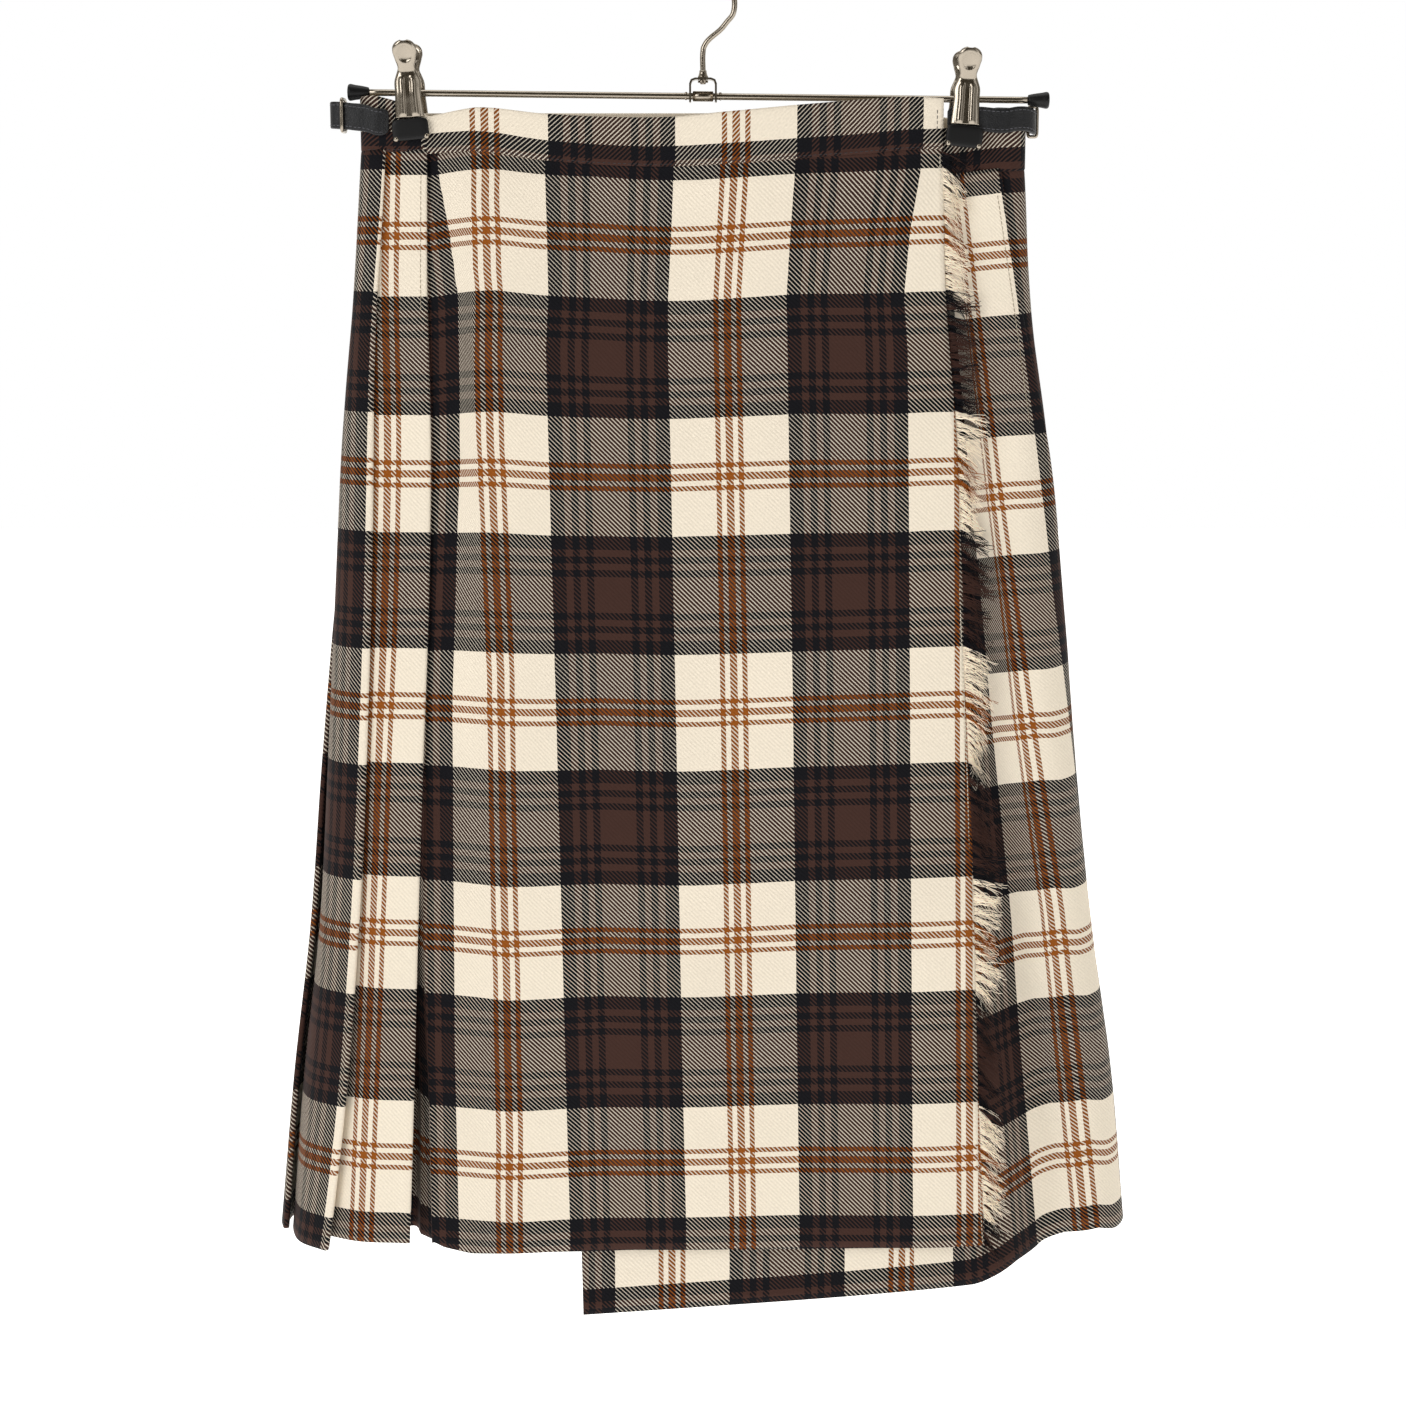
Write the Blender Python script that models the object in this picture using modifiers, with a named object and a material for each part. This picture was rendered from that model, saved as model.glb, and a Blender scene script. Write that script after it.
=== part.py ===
"""Pleated tartan wrap skirt on a clip hanger, in metres, +Z up, seen from -Y.

The origin is the inside of the hook's crown, where a rail carries the hanger.
Every cloth piece is placed by three numbers: u, the distance round the skirt from the
first fold on the left of the front, to the left, round the back and to the right of
the front; h, the height outwards from the innermost line; and v, from 0 at the
waist seam to 1 at the hem.
"""
import math

import bmesh
import bpy
import numpy as np
from mathutils import Matrix, Vector

MM = 0.001
# Space between pieces, and the closer fit of turned parts on a wire
GAP = 0.3 * MM
FIT = 0.15 * MM

# Cloth
WALL = 1.0 * MM
LAYER = 1.5 * MM
LOOSE_LAYER = 2.25 * MM
FRONT_LENGTH_Z = -664 * MM
PLEATS = 15
FIRST_PLEATS = 2
HIP_SHARE = 0.1

# Waistband
BAND_HEIGHT = 25 * MM
BAND_WALL = 2.4 * MM
BAND_JOIN = 45 * MM
HIP_BAND = 2.6 * MM
HIP_TURN = 16 * MM
BAND_CELL = 10 * MM

# Fringe
STRANDS = 110
STRAND_LENGTH = 17 * MM
FRINGE_STRIP = 1.2 * MM
FRINGE_TOP = 0.004
FRINGE_LIFT = 1.6 * MM
STRIP_HALF = 0.4 * MM

# Sections from the waist seam to the hem, in millimetres: outermost left and right of
# the outline, front and back, depth of the left and right sides, the first fold's x,
# the last fold's way past the right side to the front, the fringed edge's x, the
# free edge of the inner apron, the height from fold to fold, the folded share of a
# pleat, the first pleat's open gap, and the hollow at the right of the inner apron.
COLUMNS = (
    "v", "left", "right", "front", "back", "side_left", "side_right", "fold_x",
    "last_fold", "fringe_x", "free_x", "step", "folded", "open_gap", "hollow",
)
SECTIONS = (
    (0.00, -174.5, 164.5, -9.5, 11.0, 1.0, 1.0, -140.2, 14, 121.0, -70, 3.1, 0.28, 1.5, 0),
    (0.12, -180.3, 168.8, -11.0, 17.0, 3.6, 5.5, -141.1, 11, 123.0, -69, 3.3, 0.36, 1.5, 0),
    (0.25, -187.8, 179.5, -13.0, 26.0, 7.5, 11.0, -140.5, 8, 129.6, -68, 3.5, 0.52, 1.5, 0),
    (0.40, -194.0, 190.2, -15.5, 37.0, 12.0, 17.5, -142.8, 3, 134.3, -67, 4.1, 0.70, 1.5, 1),
    (0.55, -203.0, 199.5, -18.0, 47.0, 16.5, 24.0, -147.0, -8, 139.0, -66, 4.7, 0.80, 2.0, 6),
    (0.70, -212.5, 210.8, -20.5, 56.0, 20.5, 30.0, -150.7, -18, 142.3, -65, 5.0, 0.85, 4.0, 13),
    (0.85, -223.7, 224.3, -23.0, 64.0, 24.5, 36.5, -154.0, -28, 145.6, -63, 5.2, 0.85, 9.0, 19),
    (1.00, -233.0, 236.0, -25.0, 71.0, 28.0, 42.0, -157.5, -38, 151.0, -61, 5.4, 0.85, 13.0, 22),
)
TABLE = {name: np.array(column) for name, column in zip(COLUMNS, zip(*SECTIONS))}
HIP_LEVEL = 0.05
LEVELS = tuple(sorted((*TABLE["v"], HIP_LEVEL)))
SIDE_SHAPE = 1.15
BASE_CLEAR = 0.6 * MM
APRON_LAY = 1.4 * MM
# Where the outer apron begins to rise to its fold, before the fold
APRON_RISE = (40, 25, 14)
# The hollow's middle past the right side, at the waist and how much further at the hem
HOLLOW_PLACE = 50 * MM
HOLLOW_SHIFT = 12 * MM
HOLLOW_WIDTH = 24 * MM
SINK = 5.5 * MM
BAND_LAY = 0.1 * MM
ARC_POINTS = 361
RUN_POINTS = 400

# Heights of the seam and hem along the outer apron, from its fold to its fringe.
SAG = {
    "share": (0.00, 0.10, 0.23, 0.38, 0.50, 0.72, 0.95, 1.00),
    "seam": (-88.8, -87.8, -90.8, -95.3, -94.3, -89.3, -86.5, -86.5),
}
PLEAT_SEAM = (-88.5 * MM, -97.5 * MM)
PLEAT_HEM = (-663 * MM, -677 * MM)
INNER_SEAM = (-97.5 * MM, -119.0 * MM)
INNER_HEM = (-677 * MM, -703 * MM)

# Hanger
BAR_RADIUS = 1.7 * MM
SLEEVE_RADIUS = 2.6 * MM
SLEEVE_HALF = 5.2 * MM
BRACKET_WALL = 1.0 * MM
PLATE_WALL = 0.9 * MM
SPRING_WALL = 0.7 * MM
BAR_LEFT = Vector((-0.1755, 0, -0.0580))
BAR_RIGHT = Vector((0.1710, 0, -0.0619))
HOOK_RADIUS = 15.9 * MM
WIRE_RADIUS = 1.4 * MM
HOOK_END = math.radians(165)
CLIPS = {"left": -0.1467, "right": 0.1312}
CLIP_TOP = {"left": -0.0334, "right": -0.0369}
CLIP_LEAN = {"left": math.radians(-3), "right": math.radians(3)}

# Straps
STRAP_WALL = 1.8 * MM
BUCKLE_WIRE = 0.9 * MM
BUCKLE_CORNER = 1.2 * MM
STRAP_POINTS = 30
# The middle of each wire frame, the way it lies across the strap and its half depth.
BUCKLES = {
    "left": ((-181.8, -1.9, -69.5), (0, 1, 0), 7.4),
    "right": ((167.6, 5.8, -72.4), (1, 0, 0), 2.3),
}

COLOURS = {
    "tartan": ((0.26, 0.20, 0.17), 0.9, 0.0),
    "fringe": ((0.62, 0.56, 0.45), 0.95, 0.0),
    "leather": ((0.015, 0.015, 0.018), 0.45, 0.0),
    "steel": ((0.62, 0.60, 0.55), 0.18, 1.0),
    "rubber": ((0.01, 0.01, 0.011), 0.5, 0.0),
}


def clear_scene():
    """Remove what the file holds."""
    for thing in list(bpy.data.objects):
        bpy.data.objects.remove(thing, do_unlink=True)


def new_collection(name):
    """A collection in the scene."""
    group = bpy.data.collections.new(name)
    bpy.context.scene.collection.children.link(group)
    return group


clear_scene()
SKIRT = new_collection("pleated_wrap_skirt")
CUTTERS = new_collection("cutters")


def material(obj, kind):
    """Give a piece its own Principled material."""
    colour, roughness, metallic = COLOURS[kind]
    mat = bpy.data.materials.new(obj.name + "_" + kind)
    mat.use_nodes = True
    shader = mat.node_tree.nodes["Principled BSDF"]
    shader.inputs["Base Color"].default_value = (*colour, 1)
    shader.inputs["Roughness"].default_value = roughness
    shader.inputs["Metallic"].default_value = metallic
    obj.data.materials.clear()
    obj.data.materials.append(mat)


def smooth(a, b, x):
    """0 below a, 1 above b and an S curve between."""
    t = np.clip((x - a) / (b - a), 0, 1)
    return t * t * (3 - 2 * t)


class Section:
    """One level of the skirt: its innermost line, and where the folds lie on it."""

    def __init__(self, v):
        row = {name: float(np.interp(v, TABLE["v"], TABLE[name])) for name in COLUMNS}
        self.v = v
        self.step = row["step"] * MM
        self.folded = row["folded"]
        self.layer = LAYER + (LOOSE_LAYER - LAYER) * float(smooth(0.0, 0.6, v))
        self.top = BASE_CLEAR + self.step * (1 + self.folded)
        self.apron = self.top - self.step + APRON_LAY
        self.open_gap = row["open_gap"] * MM
        self.hollow = row["hollow"] * MM
        self.measure(row)

    def measure(self, row):
        """Two straight sides with half-ellipse ends, moved in by the height of the pleats."""
        left = row["left"] * MM + self.top
        right = row["right"] * MM - self.top
        front = row["front"] * MM + self.apron + WALL / 2
        back = row["back"] * MM - self.top
        half, deep_half = (right - left) / 2, (back - front) / 2
        straight = half - SIDE_SHAPE * deep_half
        angle = np.radians(np.linspace(-90, -270, ARC_POINTS))
        run = np.linspace(0, straight, RUN_POINTS)[:-1]
        arc_x = straight - SIDE_SHAPE * deep_half * np.cos(angle)
        arc_y = deep_half * np.sin(angle)
        half_x = np.concatenate((run, arc_x, run[::-1]))
        half_y = np.concatenate((run * 0 - deep_half, arc_y, run * 0 + deep_half))
        across = np.concatenate((-half_x, half_x[::-1][1:]))
        deep = np.concatenate((half_y, half_y[::-1][1:]))
        wide = across / half
        middle = (front + back) / 2
        side = np.where(wide < 0, row["side_left"] * MM, row["side_right"] * MM)
        self.x = (left + right) / 2 + across
        self.y = middle + (side - middle) * np.abs(wide) ** 3 + deep
        dx, dy = np.gradient(self.x), np.gradient(self.y)
        size = np.maximum(np.hypot(dx, dy), 1e-12)
        self.normal_x, self.normal_y = dy / size, -dx / size
        if self.normal_y[0] > 0:
            self.normal_x, self.normal_y = -self.normal_x, -self.normal_y
        self.s = np.concatenate(([0], np.cumsum(np.hypot(np.diff(self.x), np.diff(self.y)))))
        self.round = self.s[-1]
        quarter = len(half_x) // 2
        first = slice(0, quarter)
        last = slice(len(self.x) - quarter, None)
        start = np.interp(-row["fold_x"] * MM, -self.x[first], self.s[first])
        self.start = start
        self.right_side = self.s[-1 - quarter] - start
        self.left_side = self.s[quarter] - start
        self.last_fold = self.right_side + row["last_fold"] * MM
        edge = np.interp(-row["fringe_x"] * MM, -self.x[last], self.s[last])
        self.fringe = edge - self.round - start
        self.inner_edge = edge - start
        self.free = self.round + np.interp(-row["free_x"] * MM, -self.x[first], self.s[first]) - start
        gaps = PLEATS - FIRST_PLEATS
        rest = self.last_fold - FIRST_PLEATS * self.first_pitch()
        rest_pitch = rest / gaps
        folds = [i * self.first_pitch() for i in range(FIRST_PLEATS)]
        folds += [FIRST_PLEATS * self.first_pitch() + i * rest_pitch for i in range(gaps + 1)]
        self.folds = np.array(folds)
        self.pitches = np.append(np.diff(self.folds), rest_pitch)

    def first_pitch(self):
        """Face of the first pleats, so that the hip turns in the same pleat at every level."""
        return self.left_side / (FIRST_PLEATS + HIP_SHARE)

    def place(self, u, h):
        """World x and y of a point u round the skirt and h out from its innermost line."""
        s = np.mod(np.asarray(u, float) + self.start, self.round)
        x, y = np.interp(s, self.s, self.x), np.interp(s, self.s, self.y)
        nx, ny = np.interp(s, self.s, self.normal_x), np.interp(s, self.s, self.normal_y)
        size = np.hypot(nx, ny)
        return x + nx / size * h, y + ny / size * h


RINGS = [Section(v) for v in LEVELS]
WAIST = RINGS[0]


def link(obj, kind, group=None):
    """Put a piece in its collection, with its material."""
    (group or SKIRT).objects.link(obj)
    material(obj, kind)
    return obj


def grid_surface(name, points, backward=None):
    """An open surface through rows of points, one row for each level.

    Faces that run backward start at another corner, so that layers lying on each
    other are split along the same diagonal.
    """
    rows, columns, _ = points.shape
    index = np.arange(rows * columns).reshape(rows, columns)
    quads = np.stack((index[:-1, :-1], index[1:, :-1], index[1:, 1:], index[:-1, 1:]), -1)
    if backward is not None:
        quads[:, backward] = np.roll(quads[:, backward], -1, axis=-1)
    mesh = bpy.data.meshes.new(name)
    mesh.from_pydata(points.reshape(-1, 3).tolist(), [], quads.reshape(-1, 4).tolist())
    return bpy.data.objects.new(name, mesh)


def thicken(obj, wall):
    """A wall of even thickness about the surface."""
    solid = obj.modifiers.new("wall", "SOLIDIFY")
    solid.thickness = wall
    solid.offset = 0
    solid.use_even_offset = True
    solid.use_quality_normals = True
    return obj


def level_heights(seam, hem, v):
    """Height at level v between the seam and the hem."""
    return seam + (hem - seam) * v


def pleat_grid(ring, i):
    """Places within pleat i where its layers and its neighbours' layers have points."""
    pitch = ring.pitches[min(i, PLEATS)]
    folded = ring.folded * pitch
    start = ring.folds[i] if i <= PLEATS else ring.folds[PLEATS]
    inner = [start + folded * share for share in (0, 0.5, 1)]
    return inner, [start + folded + (pitch - folded) * share for share in (1 / 3, 2 / 3, 1)]


def pleat_face(ring, i):
    """The face of pleat i, from its fold to the end of its underlay."""
    here, rest = pleat_grid(ring, i)
    beyond = pleat_grid(ring, i + 1)[0]
    u = np.array(here + rest[:2] + beyond)
    own = ring.step * (u[:5] - u[0]) / ring.pitches[i]
    under = ring.step * (1 + (u[5:] - u[5]) / ring.pitches[min(i + 1, PLEATS)])
    return u, ring.top - np.concatenate((own, under))


def pleat_return(ring, i):
    """The hidden layer under pleat i, back from the inner fold to the visible one."""
    here, _ = pleat_grid(ring, i)
    end = ring.top - ring.step * (1 + ring.folded) + ring.layer
    u = np.array(here[::-1])
    if i == 0:
        end -= first_fold_depth(ring)
    return u, np.linspace(end, ring.top - ring.layer, len(u))


def first_fold_depth(ring):
    """How far the cloth beside the first fold has sunk in, where the pleat opens."""
    return SINK * float(smooth(2, 13, ring.open_gap / MM))


def pleat_section(ring, first, last):
    """One level of the pleats first to last, as one folded line."""
    parts_u, parts_h = [], []
    for i in range(first, last + 1):
        for u, h in (pleat_return(ring, i), pleat_face(ring, i)):
            parts_u.append(u)
            parts_h.append(h)
    return np.concatenate(parts_u), np.concatenate(parts_h)


def around_share(ring, u):
    """0 at the first fold and 1 at the last, for heights that change round the skirt."""
    return np.clip(u / ring.last_fold, 0, 1)


def cloth_points(line, heights):
    """World points of one folded line at every level."""
    rows = []
    for ring in RINGS:
        u, h = line(ring)
        x, y = ring.place(u, h)
        z = heights(ring, u)
        rows.append(np.stack((x, y, z + 0 * x), -1))
    return np.array(rows)


def cloth(name, line, heights):
    """A piece of cloth of even wall on a folded line."""
    u, _ = line(WAIST)
    obj = grid_surface(name, cloth_points(line, heights), np.diff(u) < 0)
    thicken(obj, WALL)
    return link(obj, "tartan")


def pleat_heights(ring, u):
    """Heights of the pleats, going on as the inner apron's past the last fold."""
    share = around_share(ring, u)
    seam = PLEAT_SEAM[0] + (PLEAT_SEAM[1] - PLEAT_SEAM[0]) * smooth(0.8, 1, share)
    hem = PLEAT_HEM[0] + (PLEAT_HEM[1] - PLEAT_HEM[0]) * share
    pleats = level_heights(seam, hem, ring.v)
    return np.where(u < ring.last_fold, pleats, inner_heights(ring, u))


def apron_line(ring):
    """The outer apron, from its fringed edge to the underlay behind the first fold."""
    gap = ring.open_gap
    near = np.array(APRON_RISE) * MM + gap
    wide = np.linspace(-ring.fringe, near[0] + 8 * MM, 11)
    front = -np.concatenate((wide, near, [gap + 2 * MM, gap]))
    rise = 1 - smooth(-gap - 12 * MM, -gap, front)
    h_front = ring.top - ring.step + (ring.apron - ring.top + ring.step) * rise
    sunk = first_fold_depth(ring)
    here = np.array(pleat_grid(ring, 0)[0])
    behind = ring.top - ring.step * (1 + (here - here[0]) / ring.pitches[0]) - sunk
    edge_u = -gap + 0.4 * MM
    u = np.concatenate((front, [edge_u], here))
    h = np.concatenate((h_front, [h_front[-1] - sunk * 0.9], behind))
    return u, h


def apron_heights(ring, u):
    """Heights of the outer apron, whose seam sags along the front."""
    share = np.clip(u / ring.fringe, 0, 1)
    seam = np.interp(share, SAG["share"], SAG["seam"]) * MM
    return level_heights(seam, FRONT_LENGTH_Z, ring.v)


def inner_apron_line(ring):
    """The inner apron: the layer under the last fold, the fold, and the face to the free edge."""
    u_back, h_back = pleat_return(ring, PLEATS)
    fold = ring.folds[PLEATS]
    near = np.array(pleat_grid(ring, PLEATS)[0]) - fold
    turned_in = near[-1]
    edge = ring.inner_edge - fold
    visible = turned_in + np.linspace(0, 1, 12)[1:] * (edge - turned_in)
    hidden = edge + np.linspace(0, 1, 9)[1:] * (ring.free - ring.inner_edge)
    along = np.concatenate((near, visible, hidden))
    low = 0.4 * MM + 1.8 * MM * ring.v
    slope = ring.top - ring.step * along / ring.pitches[PLEATS]
    lying = low + (slope - low) * (1 - smooth(turned_in, 0.6 * edge + 0.4 * turned_in, along))
    h = np.where(along <= turned_in, slope, lying)
    centre = ring.right_side + HOLLOW_PLACE + HOLLOW_SHIFT * ring.v - fold
    h = h - ring.hollow * np.exp(-((along - centre) / HOLLOW_WIDTH) ** 2)
    return np.concatenate((u_back, fold + along)), np.concatenate((h_back, h))


def inner_heights(ring, u):
    """Heights of the inner apron, which hangs lower towards its free edge."""
    share = np.clip((u - ring.last_fold) / (ring.free - ring.last_fold), 0, 1)
    seam = INNER_SEAM[0] + (INNER_SEAM[1] - INNER_SEAM[0]) * share
    hem = INNER_HEM[0] + (INNER_HEM[1] - INNER_HEM[0]) * share
    return level_heights(seam, hem, ring.v)


def build_cloth():
    """The outer apron, the pleats in four lengths and the inner apron."""
    cloth("outer_apron", apron_line, apron_heights)
    groups = (("pleats_left", 0, 3), ("pleats_back_left", 4, 7),
              ("pleats_back_right", 8, 11), ("pleats_right", 12, 14))
    for name, first, last in groups:
        cloth(name, lambda ring, a=first, b=last: pleat_section(ring, a, b), pleat_heights)
    cloth("inner_apron", inner_apron_line, inner_heights)


def band(name, u, h, seam):
    """A stretch of waistband, standing on the seam."""
    x, y = WAIST.place(u, h)
    bottom = seam + GAP + WALL / 2
    rows = [np.stack((x, y, bottom + BAND_HEIGHT * share), -1) for share in (0, 0.5, 1)]
    obj = grid_surface(name, np.array(rows))
    thicken(obj, BAND_WALL)
    return link(obj, "tartan")


def outer_band_height(u):
    """Height of the outer apron's band, down to the hip's."""
    return HIP_BAND + (WAIST.apron + BAND_LAY - HIP_BAND) * (1 - smooth(-12 * MM, 6 * MM, u))


def inner_band_height(u):
    """Height of the inner apron's band, in from the hip's."""
    low = 0.3 * MM
    start = WAIST.right_side + 6 * MM
    return HIP_BAND + (low - HIP_BAND) * smooth(start, WAIST.inner_edge - 6 * MM, u)


def round_hip(start, end, hip):
    """Places from start to end, close together where the hip turns."""
    turn = np.linspace(hip - HIP_TURN, hip + HIP_TURN, 15)
    before = np.linspace(start, turn[0], max(2, int((turn[0] - start) / BAND_CELL)))
    after = np.linspace(turn[-1], end, max(2, int((end - turn[-1]) / BAND_CELL)))
    return np.concatenate((before[:-1], turn, after[1:]))


def build_waistband():
    """The band in three stretches, with joins at the back."""
    half = GAP / 2
    left = WAIST.left_side + BAND_JOIN
    right = WAIST.right_side - BAND_JOIN
    u = round_hip(WAIST.fringe, left - half, WAIST.left_side)
    seam = np.where(u < 0, apron_heights(WAIST, u), pleat_heights(WAIST, u))
    band("waistband_outer", u, outer_band_height(u), seam)
    u = np.linspace(left + half, right - half, 16)
    band("waistband_back", u, HIP_BAND + 0 * u, pleat_heights(WAIST, u))
    u = round_hip(right + half, WAIST.free, WAIST.right_side)
    band("waistband_inner", u, inner_band_height(u), pleat_heights(WAIST, u))


def fringe_angle(i):
    """Droop of strand i: near level at the top and steep at the hem, in slow waves."""
    share = i / STRANDS
    slow = 0.20 * math.sin(i * 0.23 + 0.6) + 0.12 * math.sin(i * 0.11 + 2.0)
    return math.radians(24 + 30 * share) + slow


def build_fringe():
    """A narrow strip beside the apron's edge whose every other cell is drawn into a strand."""
    cells = 2 * STRANDS + 1
    shares = np.linspace(FRINGE_TOP, 1, cells + 1)
    edge = np.array([ring.place(ring.fringe, ring.apron) for ring in RINGS])
    apart = np.array([ring.place(ring.fringe - 10 * MM, ring.apron + FRINGE_LIFT) for ring in RINGS])
    x = np.interp(shares, LEVELS, edge[:, 0])
    y = np.interp(shares, LEVELS, edge[:, 1])
    out = apart - edge
    out /= np.linalg.norm(out, axis=1)[:, None]
    out_x = np.interp(shares, LEVELS, out[:, 0])
    out_y = np.interp(shares, LEVELS, out[:, 1])
    seam = SAG["seam"][-1] * MM
    z = seam + (FRONT_LENGTH_Z - seam) * shares
    form = bmesh.new()
    half = STRIP_HALF
    loops = []
    for i in range(cells + 1):
        along = Vector((out_x[i], out_y[i], 0))
        across = Vector((-along.y, along.x, 0))
        root = Vector((x[i], y[i], z[i]))
        near = root + along * GAP
        far = root + along * (GAP + FRINGE_STRIP)
        corners = (near - across * half, far - across * half, far + across * half, near + across * half)
        loops.append([form.verts.new(p) for p in corners])
    strands = []
    for i in range(cells):
        for k in range(4):
            a, b = loops[i], loops[i + 1]
            face = form.faces.new((a[k], a[(k + 1) % 4], b[(k + 1) % 4], b[k]))
            if k == 1 and i % 2 == 1:
                strands.append((i // 2, face))
    form.faces.new(loops[0][::-1])
    form.faces.new(loops[-1])
    bmesh.ops.recalc_face_normals(form, faces=form.faces)
    for i, face in strands:
        draw_strand(form, face, i, Vector((out_x[2 * i], out_y[2 * i], 0)))
    mesh = bpy.data.meshes.new("fringe")
    form.to_mesh(mesh)
    form.free()
    link(bpy.data.objects.new("fringe", mesh), "fringe")


def draw_strand(form, face, i, along):
    """Extrude one cell in two lengths, each thinner and steeper than the last."""
    angle = fringe_angle(i)
    length = STRAND_LENGTH * (1 + 0.12 * math.sin(i * 0.9) + 0.06 * math.sin(i * 2.3))
    for turn, share, thinner in ((0.6, 0.45, 0.85), (1.25, 0.55, 0.45)):
        made = bmesh.ops.extrude_discrete_faces(form, faces=[face])
        face = made["faces"][0]
        way = along * math.cos(angle * turn) - Vector((0, 0, math.sin(angle * turn)))
        centre = face.calc_center_median()
        for vert in face.verts:
            vert.co = centre + (vert.co - centre) * thinner + way * length * share


def curve_tube(name, points, radius, kind, cyclic=False, resolution=2):
    """A round wire through points."""
    data = bpy.data.curves.new(name, "CURVE")
    data.dimensions = "3D"
    data.bevel_depth = radius
    data.bevel_resolution = resolution
    data.use_fill_caps = True
    line = data.splines.new("POLY")
    line.points.add(len(points) - 1)
    for spot, point in zip(line.points, points):
        spot.co = (*point, 1)
    line.use_cyclic_u = cyclic
    return link(bpy.data.objects.new(name, data), kind)


def turned(name, profile, place, kind, turn=None, steps=18):
    """A profile of radius and height, from top to bottom of its outer side, turned about Z."""
    mesh = bpy.data.meshes.new(name)
    count = len(profile)
    edges = [(i, (i + 1) % count) for i in range(count)]
    mesh.from_pydata([(r, 0, z) for r, z in profile], edges, [])
    obj = bpy.data.objects.new(name, mesh)
    screw = obj.modifiers.new("turn", "SCREW")
    screw.steps = screw.render_steps = steps
    screw.use_merge_vertices = True
    screw.merge_threshold = 0.00001
    screw.use_normal_calculate = False
    obj.matrix_world = Matrix.Translation(place) @ (turn or Matrix())
    return link(obj, kind)


def box(name, size, place, kind, bevel=0.0, turn=None, group=None):
    """A block with small bevelled edges."""
    mesh = bpy.data.meshes.new(name)
    form = bmesh.new()
    bmesh.ops.create_cube(form, size=1)
    bmesh.ops.scale(form, vec=size, verts=form.verts)
    form.to_mesh(mesh)
    form.free()
    obj = bpy.data.objects.new(name, mesh)
    if bevel:
        edge = obj.modifiers.new("edges", "BEVEL")
        edge.width = bevel
        edge.segments = 1
    obj.matrix_world = Matrix.Translation(place) @ (turn or Matrix())
    return link(obj, kind, group)


def cut(obj, cutter):
    """Cut a hidden shape out of a piece."""
    cutter.hide_render = True
    cutter.display_type = "WIRE"
    hole = obj.modifiers.new("hole", "BOOLEAN")
    hole.operation = "DIFFERENCE"
    hole.object = cutter
    hole.solver = "EXACT"


def bar_point(x):
    """The point of the bar's middle line at x."""
    share = (x - BAR_LEFT.x) / (BAR_RIGHT.x - BAR_LEFT.x)
    return BAR_LEFT.lerp(BAR_RIGHT, share)


BAR_TURN = (BAR_RIGHT - BAR_LEFT).to_track_quat("Z", "Y").to_matrix().to_4x4()


def ring_profile(inner, outer, low, high):
    """The outline of a plain ring."""
    return ((outer, high), (outer, low), (inner, low), (inner, high))


def cylinder_cutter(name, radius, length, place, turn):
    """A cylinder that cuts a round hole."""
    mesh = bpy.data.meshes.new(name)
    form = bmesh.new()
    bmesh.ops.create_cone(form, cap_ends=True, segments=24, radius1=radius, radius2=radius, depth=length)
    form.to_mesh(mesh)
    form.free()
    obj = bpy.data.objects.new(name, mesh)
    obj.matrix_world = Matrix.Translation(place) @ turn
    return link(obj, "steel", CUTTERS)


def build_bar():
    """The bar, its two end caps and the sleeve at its middle."""
    curve_tube("hanger_bar", (BAR_LEFT, BAR_RIGHT), BAR_RADIUS, "steel", resolution=4)
    socket = BAR_RADIUS + FIT
    ends = (("cap_left", BAR_LEFT, -1), ("cap_right", BAR_RIGHT, 1))
    for name, place, way in ends:
        profile = (
            (3.9 * MM, 3.6 * MM), (4.2 * MM, 2.6 * MM), (3.9 * MM, 0.8 * MM), (2.7 * MM, -6.2 * MM),
            (2.3 * MM, -6.6 * MM), (socket, -6.6 * MM), (socket, GAP), (0, GAP), (0, 4.0 * MM),
            (2.8 * MM, 4.0 * MM),
        )
        turn = BAR_TURN if way > 0 else BAR_TURN @ Matrix.Rotation(math.pi, 4, "X")
        turned(name, profile, place, "rubber", turn)
    middle = bar_point(0)
    sleeve = ring_profile(BAR_RADIUS + FIT, SLEEVE_RADIUS, -SLEEVE_HALF, SLEEVE_HALF)
    turned("bar_sleeve", sleeve, middle, "steel", BAR_TURN)


def build_bracket():
    """A strip folded over the bar, with a hole in each leg and one in its top."""
    middle = bar_point(0)
    half = 6.5 * MM
    top = middle.z + 8.6 * MM
    foot = middle.z - 3.0 * MM
    corner = 2.5 * MM
    path = [(-half, foot), (-half, top - corner), (-half + 0.7 * MM, top - 0.7 * MM), (-half + corner, top)]
    path += [(-x, z) for x, z in reversed(path)]
    depth = 5.6 * MM
    points = np.array([[(x, y, z) for x, z in path] for y in (-depth, depth)])
    bracket = grid_surface("bracket", points)
    thicken(bracket, BRACKET_WALL)
    link(bracket, "steel")
    hole = BAR_RADIUS + GAP
    cut(bracket, cylinder_cutter("bracket_hole", hole, 20 * MM, middle, BAR_TURN))
    wire = WIRE_RADIUS + GAP
    cut(bracket, cylinder_cutter("hook_hole", wire, 6 * MM, Vector((0, 0, top)), Matrix()))
    return top


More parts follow.
